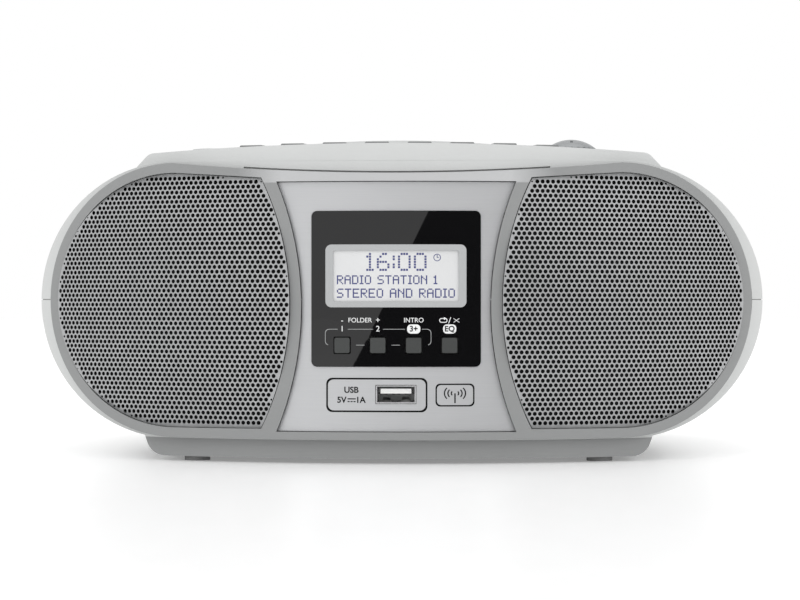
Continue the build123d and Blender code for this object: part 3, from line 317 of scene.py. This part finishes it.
FINISHES = {
    shell_light: ["upper_housing", "standby_button", "battery_cover"],
    plinth_painted_shade: ["lower_housing"],
    bezel_grey: ["front_bezel"],
    lid_light: ["cd_lid"],
    key_grey: ["top_key_" + str(n) for n in range(1, 9)],
    knob_grey: ["volume_knob"],
    handle_grey: ["carry_handle"],
    front_key: ["front_key_" + str(n) for n in range(1, 5)],
    panel_brushed: ["centre_panel"],
    gloss_black: ["display_panel"],
    window_smoke: ["lid_window"],
    rim_pale: ["lcd_frame"],
    lcd_pale: ["lcd_module"],
    foot_rubber: ["rubber_feet"],
    inner_black: [
        "speaker_baffles", "speaker_frames", "speaker_magnets", "disc_clamp", "cd_well",
        "spindle_hub", "laser_sled", "battery_bay", "ac_inlet", "headphone_jack",
        "push_switches", "board_parts",
    ],
    usb_two_tone: ["usb_tongue"],
    cone_paper: ["left_cone", "right_cone"],
    sheet_steel: ["cd_chassis", "spindle_motor", "sled_motor", "volume_encoder"],
    steel_bright: ["sled_rails", "housing_screws", "battery_contacts", "usb_receptacle"],
    chrome: ["antenna_base", "antenna_middle", "antenna_tip"],
    board_green: ["main_board", "front_board", "key_board"],
    brass: ["lead_screw"],
    winding: ["transformer"],
    lead_red: ["speaker_wires"],
}


def paint_nodes():
    """Give every kept CAD node its finish and crisp-edged smooth shading."""
    for material, names in FINISHES.items():
        for name in names:
            thing = nodes[name]
            if not thing.material_slots:
                thing.data.materials.append(material)
            for place in thing.material_slots:
                place.material = material
            thing.data.shade_smooth()
            thing.data.set_sharp_from_angle(angle=math.radians(28))


paint_nodes()


# ---------------------------------------------------------------------------
# Building helpers
# ---------------------------------------------------------------------------

def add_mesh(name, vertices, faces, material, smooth=False):
    """New mesh piece, linked into the scene."""
    mesh = bpy.data.meshes.new(name)
    mesh.from_pydata(vertices, [], faces)
    mesh.update()
    thing = bpy.data.objects.new(name, mesh)
    bpy.context.scene.collection.objects.link(thing)
    mesh.materials.append(material)
    if smooth:
        mesh.shade_smooth()
        mesh.set_sharp_from_angle(angle=math.radians(35))
    return thing


def on_bow(x, z, radius, lift=0.0):
    """Point on the bowed front, lifted off it towards the viewer."""
    return (x, bow_depth(x, radius + lift), z)


def bow_tiles(name, shapes, radius, lift, material, body="cabinet"):
    """Flat front-view polygons laid on the bowed front as one piece."""
    vertices = []
    faces = []
    for shape in shapes:
        first = len(vertices)
        vertices += [on_bow(x, z, radius, lift) for x, z in shape]
        faces.append(list(range(first, first + len(shape))))
    thing = add_mesh(name, vertices, faces, material)
    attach(thing, body)
    return thing


def rectangle(x0, x1, z0, z1):
    """Corners seen from the front, counter-clockwise."""
    return [(x0, z0), (x1, z0), (x1, z1), (x0, z1)]


def rounded_loop(x0, x1, z0, z1, radius, steps=5):
    """Rounded rectangle as a closed list of points."""
    points = []
    corners = [(x1, z1, 0), (x0, z1, 90), (x0, z0, 180), (x1, z0, 270)]
    for x, z, start in corners:
        cx = x - radius if x == x1 else x + radius
        cz = z - radius if z == z1 else z + radius
        for step in range(steps + 1):
            angle = math.radians(start + 90 * step / steps)
            points.append((cx + radius * math.cos(angle), cz + radius * math.sin(angle)))
    return points


def subdivided(points, longest):
    """The same closed loop with no side longer than a limit."""
    result = []
    for index, point in enumerate(points):
        following = points[(index + 1) % len(points)]
        count = max(1, math.ceil(math.dist(point, following) / longest))
        for step in range(count):
            part = step / count
            result.append(tuple(a + (b - a) * part for a, b in zip(point, following)))
    return result


def ring_tiles(points, width):
    """Quads of an even line round a closed loop."""
    count = len(points)
    centre_x = sum(p[0] for p in points) / count
    centre_z = sum(p[1] for p in points) / count
    half_x = max(abs(p[0] - centre_x) for p in points)
    half_z = max(abs(p[1] - centre_z) for p in points)
    inner = []
    for x, z in points:
        shrink_x = (half_x - width) / half_x
        shrink_z = (half_z - width) / half_z
        inner.append((centre_x + (x - centre_x) * shrink_x, centre_z + (z - centre_z) * shrink_z))
    tiles = []
    for index in range(count):
        after = (index + 1) % count
        tiles.append([points[index], points[after], inner[after], inner[index]])
    return tiles


def lettering(name, words, x, z, height, radius, lift, material, weight=0.012):
    """Printed characters that follow the bowed front; weight fattens the strokes."""
    curve = bpy.data.curves.new(name + "_outline", "FONT")
    curve.body = words
    curve.size = height
    curve.offset = height * weight
    curve.align_x = "CENTER"
    curve.align_y = "CENTER"
    source = bpy.data.objects.new(name + "_outline", curve)
    bpy.context.scene.collection.objects.link(source)
    bpy.context.view_layer.update()
    mesh = bpy.data.meshes.new_from_object(source.evaluated_get(bpy.context.evaluated_depsgraph_get()))
    bpy.data.objects.remove(source)
    vertices = [on_bow(x + v.co.x, z + v.co.y, radius, lift) for v in mesh.vertices]
    faces = [list(polygon.vertices) for polygon in mesh.polygons]
    thing = add_mesh(name, vertices, faces, material)
    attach(thing, "cabinet")
    return thing


# ---------------------------------------------------------------------------
# Perforated grilles
# ---------------------------------------------------------------------------

GRILLE_CENTRE_X = 80 * MM
GRILLE_RADIUS = 45.05 * MM
INNER_EDGE_MID = 37.25 * MM
INNER_EDGE_CORNER = 47.65 * MM
CORNER_TOP_Z = 100.05 * MM
CORNER_BOTTOM_Z = 12.35 * MM
CELL_REACH = PERFORATION_PITCH / math.sqrt(3)


def grille_edge():
    """Outline of the right grille as a closed list of points, seen from the front."""
    points = []
    for step in range(61):
        angle = math.radians(90 - 3 * step)
        points.append((
            GRILLE_CENTRE_X + GRILLE_RADIUS * math.cos(angle),
            AXIS_Z + GRILLE_RADIUS * math.sin(angle),
        ))
    half = (CORNER_TOP_Z - CORNER_BOTTOM_Z) / 2
    bulge = INNER_EDGE_CORNER - INNER_EDGE_MID
    radius = (half ** 2 + bulge ** 2) / (2 * bulge)
    middle_z = (CORNER_TOP_Z + CORNER_BOTTOM_Z) / 2
    sweep = math.asin(half / radius)
    for step in range(41):
        angle = -sweep + 2 * sweep * step / 40
        x = INNER_EDGE_MID + radius * (1 - math.cos(angle))
        points.append((x, middle_z + radius * math.sin(angle)))
    return points


def inside(point, outline):
    """Even-odd test of a point against a closed outline."""
    x, z = point
    hit = False
    for index, (x0, z0) in enumerate(outline):
        x1, z1 = outline[index - 1]
        if (z0 > z) != (z1 > z) and x < (x1 - x0) * (z - z0) / (z1 - z0) + x0:
            hit = not hit
    return hit


def nearest(point, outline):
    """Closest point of a closed outline and its distance."""
    here = Vector((point[0], point[1], 0))
    best = None
    for index, start in enumerate(outline):
        end = outline[index - 1]
        a = Vector((start[0], start[1], 0))
        b = Vector((end[0], end[1], 0))
        spot, part = intersect_point_line(here, a, b)
        if part < 0:
            spot = a
        elif part > 1:
            spot = b
        gap = (here - spot).length
        if best is None or gap < best[1]:
            best = ((spot.x, spot.y), gap)
    return best


def grille_point(x, z, back=0.0):
    """Point on the domed grille surface, or a little behind it."""
    rise = z - AXIS_Z
    radius = GRILLE_CREST - (GRILLE_DOME - math.sqrt(GRILLE_DOME ** 2 - rise ** 2)) - back
    return (x, BOW_Y - math.sqrt(radius ** 2 - x ** 2), z)


def hole_places():
    """Hole centres in staggered rows, evenly spaced along the bow, with their foreshortening."""
    row_height = PERFORATION_PITCH * math.sqrt(3) / 2
    rows = int((grille_high.z - grille_low.z) / 2 / row_height) + 1
    low_arc = math.asin(INNER_EDGE_MID / GRILLE_CREST) * GRILLE_CREST
    high_arc = math.asin(grille_high.x / GRILLE_CREST) * GRILLE_CREST
    columns = int((high_arc - low_arc) / PERFORATION_PITCH) + 2
    places = []
    for row in range(-rows, rows + 1):
        for column in range(-1, columns):
            arc = low_arc + (column + 0.5 * (row % 2)) * PERFORATION_PITCH
            x = GRILLE_CREST * math.sin(arc / GRILLE_CREST)
            places.append((x, AXIS_Z + row * row_height, math.cos(arc / GRILLE_CREST)))
    return places


def cell_corners(x, z, foreshortening):
    """Six corners of the cell of metal round one hole."""
    corners = []
    for corner in range(6):
        angle = math.radians(30 + 60 * corner)
        corners.append((
            x + CELL_REACH * math.cos(angle) * foreshortening,
            z + CELL_REACH * math.sin(angle),
        ))
    return corners


def add_hole(vertices, faces, side, place, radius, border):
    """Round hole with a short wall, inside the cell whose corner numbers are the border."""
    x, z, foreshortening = place
    first = len(vertices)
    for step in range(12):
        angle = math.radians(30 + 30 * step)
        hole_x = x + radius * math.cos(angle) * foreshortening
        hole_z = z + radius * math.sin(angle)
        vertices.append(grille_point(side * hole_x, hole_z))
        vertices.append(grille_point(side * hole_x, hole_z, SHEET_DEPTH))
    rim = [first + 2 * step for step in range(12)]
    floor = [number + 1 for number in rim]
    for corner in range(6):
        start, middle, end = rim[2 * corner], rim[2 * corner + 1], rim[(2 * corner + 2) % 12]
        faces.append([border[corner], border[(corner + 1) % 6], end, middle, start])
    for step in range(12):
        after = (step + 1) % 12
        faces.append([rim[step], rim[after], floor[after], floor[step]])


def add_rolled_edge(vertices, faces, side, outline):
    """Narrow wall round the sheet, turned back into the cabinet."""
    first = len(vertices)
    dense = subdivided(outline, 1.5 * MM)
    for x, z in dense:
        vertices.append(grille_point(side * x, z))
        vertices.append(grille_point(side * x, z, EDGE_DEPTH))
    for index in range(len(dense)):
        here = first + 2 * index
        after = first + 2 * ((index + 1) % len(dense))
        faces.append([here, after, after + 1, here + 1])


def build_grille(side, node):
    """Perforated sheet with a rolled edge; side is 1 for right and -1 for left."""
    outline = grille_edge()
    vertices = []
    faces = []
    known = {}

    def shared(x, z):
        """Number of the vertex at a cell corner, moved onto the edge if it lies outside."""
        key = (round(x / MM, 3), round(z / MM, 3))
        if key not in known:
            if not inside((x, z), outline):
                x, z = nearest((x, z), outline)[0]
            known[key] = len(vertices)
            vertices.append(grille_point(side * x, z))
        return known[key]

    for place in hole_places():
        centre = place[:2]
        is_in = inside(centre, outline)
        gap = nearest(centre, outline)[1]
        if not is_in and gap > CELL_REACH:
            continue
        border = [shared(*corner) for corner in cell_corners(*place)]
        radius = min(PERFORATION_RADIUS, gap - EDGE_LAND)
        if is_in and radius >= SMALLEST_HOLE:
            add_hole(vertices, faces, side, place, radius, border)
        else:
            faces.append(border)
    add_rolled_edge(vertices, faces, side, outline)
    thing = add_mesh(node + "_perforated", vertices, faces, grille_metal, smooth=True)
    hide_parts(node)
    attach(thing, "cabinet")


def build_dust_cloth(side, name):
    """Black cloth stretched just behind a grille."""
    outline = subdivided(grille_edge(), 3 * MM)
    centre_x = sum(p[0] for p in outline) / len(outline)
    rings = 10
    vertices = []
    faces = []
    for ring in range(1, rings + 1):
        part = 0.985 * ring / rings
        for x, z in outline:
            px = centre_x + (x - centre_x) * part
            pz = AXIS_Z + (z - AXIS_Z) * part
            vertices.append(grille_point(side * px, pz, CLOTH_DEPTH))
    count = len(outline)
    faces.append(list(range(count)))
    for ring in range(rings - 1):
        for index in range(count):
            after = (index + 1) % count
            low = ring * count
            faces.append([low + index, low + after, low + count + after, low + count + index])
    thing = add_mesh(name, vertices, faces, cloth_black, smooth=True)
    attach(thing, "cabinet")


build_grille(1, "right_grille")
build_grille(-1, "left_grille")
build_dust_cloth(1, "right_dust_cloth")
build_dust_cloth(-1, "left_dust_cloth")


# ---------------------------------------------------------------------------
# Display: dot-matrix clock and two lines of generic words
# ---------------------------------------------------------------------------

GLYPHS = {
    "0": "01110 10001 10001 10001 10001 10001 01110",
    "1": "00100 01100 00100 00100 00100 00100 01110",
    "6": "00110 01000 10000 11110 10001 10001 01110",
    ":": "00000 00100 00100 00000 00100 00100 00000",
    " ": "00000 00000 00000 00000 00000 00000 00000",
    "A": "01110 10001 10001 11111 10001 10001 10001",
    "D": "11110 10001 10001 10001 10001 10001 11110",
    "E": "11111 10000 10000 11110 10000 10000 11111",
    "I": "01110 00100 00100 00100 00100 00100 01110",
    "N": "10001 11001 10101 10011 10001 10001 10001",
    "O": "01110 10001 10001 10001 10001 10001 01110",
    "R": "11110 10001 10001 11110 10100 10010 10001",
    "S": "01111 10000 10000 01110 00001 00001 11110",
    "T": "11111 00100 00100 00100 00100 00100 00100",
}


def columns_of(letter):
    """Used columns of a character, each a text of seven bits; a space is three blank ones."""
    rows = GLYPHS[letter].split()
    columns = ["".join(row[n] for row in rows) for n in range(5)]
    used = [column for column in columns if "1" in column]
    return used or [columns[0]] * 3


def dot_line(words, left, right, top, fill):
    """Square dots of a line of characters spread from left to right."""
    columns = []
    for letter in words:
        columns += columns_of(letter) + ["0000000"]
    pitch = (right - left) / (len(columns) - 1)
    dots = []
    for place, column in enumerate(columns):
        for row, bit in enumerate(column):
            if bit == "1":
                x = left + place * pitch
                z = top - row * pitch
                dots.append(rectangle(x, x + pitch * fill, z - pitch * fill, z))
    return dots


CLOCK_LEFT = -10.3 * MM
CLOCK_RIGHT = 10.9 * MM
WORDS_LEFT = -20.6 * MM
SHORT_WORDS_RIGHT = 14.5 * MM
LONG_WORDS_RIGHT = 20.6 * MM
CLOCK_MARK_X = 14.4 * MM
CLOCK_MARK_RADIUS = 1.3 * MM


def clock_mark(x, z):
    """Small clock face: a ring and two hands."""
    circle = [
        (x + CLOCK_MARK_RADIUS * math.cos(math.radians(15 * n)),
         z + CLOCK_MARK_RADIUS * math.sin(math.radians(15 * n))) for n in range(24)
    ]
    tiles = ring_tiles(circle, 0.25 * MM)
    tiles.append(rectangle(x - 0.12 * MM, x + 0.12 * MM, z - 0.1 * MM, z + 0.9 * MM))
    tiles.append(rectangle(x, x + 0.6 * MM, z - 0.1 * MM, z + 0.1 * MM))
    return tiles


def build_display():
    """Clock above two lines of words, and a small clock mark."""
    middle = (lcd_low.z + lcd_high.z) / 2
    dots = dot_line("16:00", CLOCK_LEFT, CLOCK_RIGHT, middle + 8.0 * MM, 0.78)
    dots += dot_line("RADIO STATION 1", WORDS_LEFT, SHORT_WORDS_RIGHT, middle + 0.2 * MM, 0.97)
    dots += dot_line("STEREO AND RADIO", WORDS_LEFT, LONG_WORDS_RIGHT, middle - 4.4 * MM, 0.97)
    dots += clock_mark(CLOCK_MARK_X, middle + 6.4 * MM)
    bow_tiles("display_dots", dots, LCD_RADIUS, PRINT_LIFT, lcd_ink)


build_display()


# ---------------------------------------------------------------------------
# Printed marks round the keys and the USB port
# ---------------------------------------------------------------------------

KEY_XS = [(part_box("front_key_" + str(n))[0].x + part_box("front_key_" + str(n))[1].x) / 2
          for n in range(1, 5)]
key_low, key_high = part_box("front_key_1")
FRONT_KEY_MIDDLE = (key_low.z + key_high.z) / 2
FRONT_KEY_HALF = (key_high.z - key_low.z) / 2
LABEL_LOW_Z = 47.2 * MM
LABEL_HIGH_Z = 50.2 * MM


def line_tiles(x0, x1, z, width):
    """Thin horizontal line in short lengths, so that it follows the bow."""
    count = max(1, math.ceil((x1 - x0) / (3 * MM)))
    step = (x1 - x0) / count
    return [
        rectangle(x0 + n * step, x0 + (n + 1) * step, z - width / 2, z + width / 2)
        for n in range(count)
    ]


def build_link_line():
    """Rounded line that ties the first three keys together, broken at labels and keys."""
    left = KEY_XS[0] - 6.0 * MM
    right = KEY_XS[2] + 6.1 * MM
    loop = rounded_loop(left, right, FRONT_KEY_MIDDLE, LABEL_LOW_Z, 1.4 * MM)
    top_gaps = [(KEY_XS[0], 1.8 * MM), (KEY_XS[1], 1.8 * MM), (KEY_XS[2], 3.0 * MM)]
    bottom_gaps = [(x, FRONT_KEY_HALF + 0.9 * MM) for x in KEY_XS[:3]]
    kept = []
    for tile in ring_tiles(subdivided(loop, 0.6 * MM), 0.16 * MM):
        x = sum(point[0] for point in tile) / 4
        z = sum(point[1] for point in tile) / 4
        gaps = top_gaps if z > (FRONT_KEY_MIDDLE + LABEL_LOW_Z) / 2 else bottom_gaps
        if all(abs(x - middle) > reach for middle, reach in gaps):
            kept.append(tile)
    bow_tiles("key_link_line", kept, GLOSS_RADIUS, PRINT_LIFT, legend_grey)


def build_repeat_and_shuffle():
    """Looped arrow, slash and crossed arrows above the last key."""
    marks = []
    centre = KEY_XS[3] - 2.2 * MM
    z = LABEL_HIGH_Z
    loop = rounded_loop(centre - 1.4 * MM, centre + 1.4 * MM, z - 0.8 * MM, z + 0.8 * MM, 0.7 * MM)
    marks += ring_tiles(loop, 0.26 * MM)
    marks.append([
        (centre + 0.2 * MM, z + 1.2 * MM), (centre + 0.2 * MM, z + 0.1 * MM),
        (centre + 1.1 * MM, z + 0.65 * MM),
    ])
    slash = KEY_XS[3]
    marks.append([
        (slash - 0.5 * MM, z - 1.1 * MM), (slash - 0.25 * MM, z - 1.1 * MM),
        (slash + 0.5 * MM, z + 1.1 * MM), (slash + 0.25 * MM, z + 1.1 * MM),
    ])
    x0 = KEY_XS[3] + 1.2 * MM
    x1 = x0 + 2.3 * MM
    for sign in (-1, 1):
        start = z - sign * 0.7 * MM
        end = z + sign * 0.7 * MM
        marks.append([(x0, start), (x0 + 0.3 * MM, start), (x1, end), (x1 - 0.3 * MM, end)])
    bow_tiles("repeat_and_shuffle_marks", marks, GLOSS_RADIUS, PRINT_LIFT, legend_white)


def build_key_marks():
    """Numbers, signs and pills above the four front keys."""
    pills = [
        rounded_loop(x - 2.3 * MM, x + 2.3 * MM, LABEL_LOW_Z - 1.6 * MM, LABEL_LOW_Z + 1.6 * MM, 1.3 * MM)
        for x in KEY_XS[2:]
    ]
    bow_tiles("key_pills", pills, GLOSS_RADIUS, PRINT_LIFT, legend_white)
    folder_x = (KEY_XS[0] + KEY_XS[1]) / 2
    for name, word, x, z in (
        ("mark_1", "1", KEY_XS[0], LABEL_LOW_Z), ("mark_2", "2", KEY_XS[1], LABEL_LOW_Z),
        ("mark_minus", "-", KEY_XS[0], LABEL_HIGH_Z), ("mark_plus", "+", KEY_XS[1], LABEL_HIGH_Z),
        ("mark_folder", "FOLDER", folder_x, LABEL_HIGH_Z),
        ("mark_intro", "INTRO", KEY_XS[2], LABEL_HIGH_Z),
    ):
        size = 2.8 * MM if len(word) == 1 else 2.3 * MM
        lettering(name, word, x, z, size, GLOSS_RADIUS, PRINT_LIFT, legend_white, 0.002)
    for name, word, x in (("pill_3_plus", "3+", KEY_XS[2]), ("pill_eq", "EQ", KEY_XS[3])):
        lettering(name, word, x, LABEL_LOW_Z, 2.7 * MM, GLOSS_RADIUS, PRINT_LIFT * 2, legend_black, 0.025)


build_link_line()
build_repeat_and_shuffle()
build_key_marks()


PORT_FRAME_LEFT = -24.4 * MM
PORT_FRAME_RIGHT = 11.0 * MM
PORT_FRAME_HALF = 6.0 * MM
PORT_TEXT_X = -15.6 * MM
PORT_TEXT_HEIGHT = 2.95 * MM
MAST_X = 20.6 * MM
MAST_HALF_WIDTH = 6.8 * MM
MAST_HALF_HEIGHT = 4.0 * MM
WAVE_WIDTH = 0.45 * MM


def outline_tiles(x0, x1, middle, half, radius, width):
    """Line of a width round a rounded rectangle."""
    loop = rounded_loop(x0, x1, middle - half, middle + half, radius)
    return ring_tiles(subdivided(loop, 3 * MM), width)


def mast_icon(middle):
    """Plain radio mast with three waves to each side, in a rounded frame."""
    tiles = outline_tiles(
        MAST_X - MAST_HALF_WIDTH, MAST_X + MAST_HALF_WIDTH, middle, MAST_HALF_HEIGHT, 1.6 * MM, 0.5 * MM,
    )
    top = middle + 0.6 * MM
    tiles.append(rectangle(MAST_X - 0.25 * MM, MAST_X + 0.25 * MM, middle - 2.8 * MM, top))

    def wave_point(reach, angle):
        return (MAST_X + reach * math.cos(angle), top + reach * math.sin(angle) * 0.8)

    for reach in (1.5 * MM, 2.7 * MM, 3.9 * MM):
        for start in (-40, 140):
            for step in range(8):
                a0 = math.radians(start + 10 * step)
                a1 = math.radians(start + 10 * (step + 1))
                tiles.append([
                    wave_point(reach - WAVE_WIDTH, a0), wave_point(reach, a0),
                    wave_point(reach, a1), wave_point(reach - WAVE_WIDTH, a1),
                ])
    return tiles


def direct_current_sign(middle):
    """Full line above three dashes."""
    left = PORT_TEXT_X - 1.3 * MM
    tiles = line_tiles(left, PORT_TEXT_X + 1.6 * MM, middle - 1.35 * MM, 0.4 * MM)
    for n in range(3):
        x = left + n * 1.05 * MM
        tiles += line_tiles(x, x + 0.72 * MM, middle - 2.3 * MM, 0.4 * MM)
    return tiles


def build_port_marks():
    """Rounded frame round the USB port, its rating, and a plain radio mast icon."""
    middle = USB_MIDDLE_Z - 0.2 * MM
    tiles = outline_tiles(PORT_FRAME_LEFT, PORT_FRAME_RIGHT, middle, PORT_FRAME_HALF, 2.1 * MM, 0.6 * MM)
    tiles += mast_icon(middle)
    bow_tiles("port_frame_marks", tiles, PANEL_RADIUS, PRINT_LIFT, legend_black)
    for name, words, rise in (("mark_usb", "USB", 1.7 * MM), ("mark_rating", "5V    1A", -1.8 * MM)):
        lettering(
            name, words, PORT_TEXT_X, middle + rise, PORT_TEXT_HEIGHT,
            PANEL_RADIUS, PRINT_LIFT, legend_black, 0.025,
        )
    bow_tiles("direct_current_sign", direct_current_sign(middle), PANEL_RADIUS, PRINT_LIFT, legend_black)


build_port_marks()


def build_port_springs():
    """Two sprung tabs bent up from the floor of the USB shell."""
    floor_z = usb_low.z + 0.45 * MM
    vertices = []
    faces = []
    for side in (-1, 1):
        near = side * 1.6 * MM
        far = side * 5.2 * MM
        first = len(vertices)
        vertices += [
            (near, usb_low.y + 0.5 * MM, floor_z), (far, usb_low.y + 0.5 * MM, floor_z),
            (far - side * 0.5 * MM, usb_low.y + 5 * MM, floor_z + 1.5 * MM),
            (near + side * 0.5 * MM, usb_low.y + 5 * MM, floor_z + 1.5 * MM),
        ]
        faces.append([first, first + 1, first + 2, first + 3])
    springs = add_mesh("usb_springs", vertices, faces, spring_steel)
    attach(springs, "cabinet")


def build_seam_lips():
    """Tongue behind the seam between the housing halves, along each side, coloured dark grey as painted
    shade in the seam gap.
    """
    lower = nodes["lower_housing"]
    top_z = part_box("lower_housing")[1].z
    rim = [lower.matrix_world @ vertex.co for vertex in lower.data.vertices]
    rim = [spot for spot in rim if spot.z > top_z - 0.05 * MM]
    for side, name in ((-1, "left_seam_lip_painted_shade"), (1, "right_seam_lip_painted_shade")):
        outer = {}
        for spot in rim:
            place = round(spot.y / (4 * MM))
            if abs(place) <= 20 and side * spot.x > side * outer.get(place, Vector((0, 0, 0))).x:
                outer[place] = spot
        line = [outer[place] for place in sorted(outer)]
        vertices = []
        for spot in line:
            x = spot.x - side * SEAM_INSET
            vertices += [(x, spot.y, top_z - 0.6 * MM), (x, spot.y, top_z + 1.0 * MM)]
        faces = [[2 * n, 2 * n + 2, 2 * n + 3, 2 * n + 1] for n in range(len(line) - 1)]
        lip = add_mesh(name, vertices, faces, seam_painted_shade)
        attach(lip, "cabinet")


build_port_springs()
build_seam_lips()


# ---------------------------------------------------------------------------
# Studio
# ---------------------------------------------------------------------------

def pale_floor():
    """Large plain floor under the feet."""
    half = 6.0
    floor = add_mesh(
        "floor", [(-half, -half, 0), (half, -half, 0), (half, half, 0), (-half, half, 0)],
        [[0, 1, 2, 3]], floor_white,
    )


def softbox(name, place, aim, width, height, power):
    """Rectangular area light pointed at a spot."""
    light = bpy.data.lights.new(name, "AREA")
    light.shape = "RECTANGLE"
    light.size = width
    light.size_y = height
    light.energy = power
    thing = bpy.data.objects.new(name, light)
    thing.location = place
    thing.rotation_euler = (Vector(aim) - Vector(place)).to_track_quat("-Z", "Y").to_euler()
    bpy.context.scene.collection.objects.link(thing)


def dark_flag():
    """Black card behind the camera, seen only in reflections.

    Its sloping edge puts the diagonal reflection on the gloss panel.
    """
    y = FRONT_Y - 1.0
    corners = [(-0.85, y, -0.23), (0.85, y, 0.40), (1.00, y, -0.60), (-0.85, y, -0.60)]
    flag = add_mesh("dark_flag", corners, [[0, 1, 2, 3]], flag_black)
    flag.visible_camera = False
    flag.visible_diffuse = False
    flag.visible_shadow = False


def place_camera():
    """Level camera a little to the right of the middle."""
    camera = bpy.data.cameras.new("camera")
    camera.lens = 110
    camera.sensor_width = 36
    camera.clip_end = 30
    thing = bpy.data.objects.new("camera", camera)
    thing.location = (
        CAMERA_AIM_X + CAMERA_DISTANCE * math.sin(CAMERA_AZIMUTH),
        FRONT_Y - CAMERA_DISTANCE * math.cos(CAMERA_AZIMUTH),
        CAMERA_HEIGHT,
    )
    thing.rotation_euler = (math.radians(90), 0, CAMERA_AZIMUTH)
    bpy.context.scene.collection.objects.link(thing)
    bpy.context.scene.camera = thing


floor_white = glowing("floor_white", (0.86, 0.86, 0.86), 0.22)
flag_black = moulded("flag_black", (0.002, 0.002, 0.002), 0.9)
pale_floor()
dark_flag()
softbox("key_light", (-0.7, -1.3, 1.3), (0, 0, 0.06), 1.2, 0.8, 3.2)
softbox("fill_light", (0.9, -1.2, 0.7), (0, 0, 0.06), 0.9, 0.9, 1.4)
softbox("top_light", (0, 0.2, 1.6), (0, 0, 0.06), 1.6, 1.2, 4.0)
place_camera()

world = bpy.data.worlds.new("studio")
bpy.context.scene.world = world
world.use_nodes = True
world.node_tree.nodes["Background"].inputs["Color"].default_value = (1, 1, 1, 1)
world.node_tree.nodes["Background"].inputs["Strength"].default_value = 1.0
bpy.context.scene.view_settings.view_transform = "Standard"
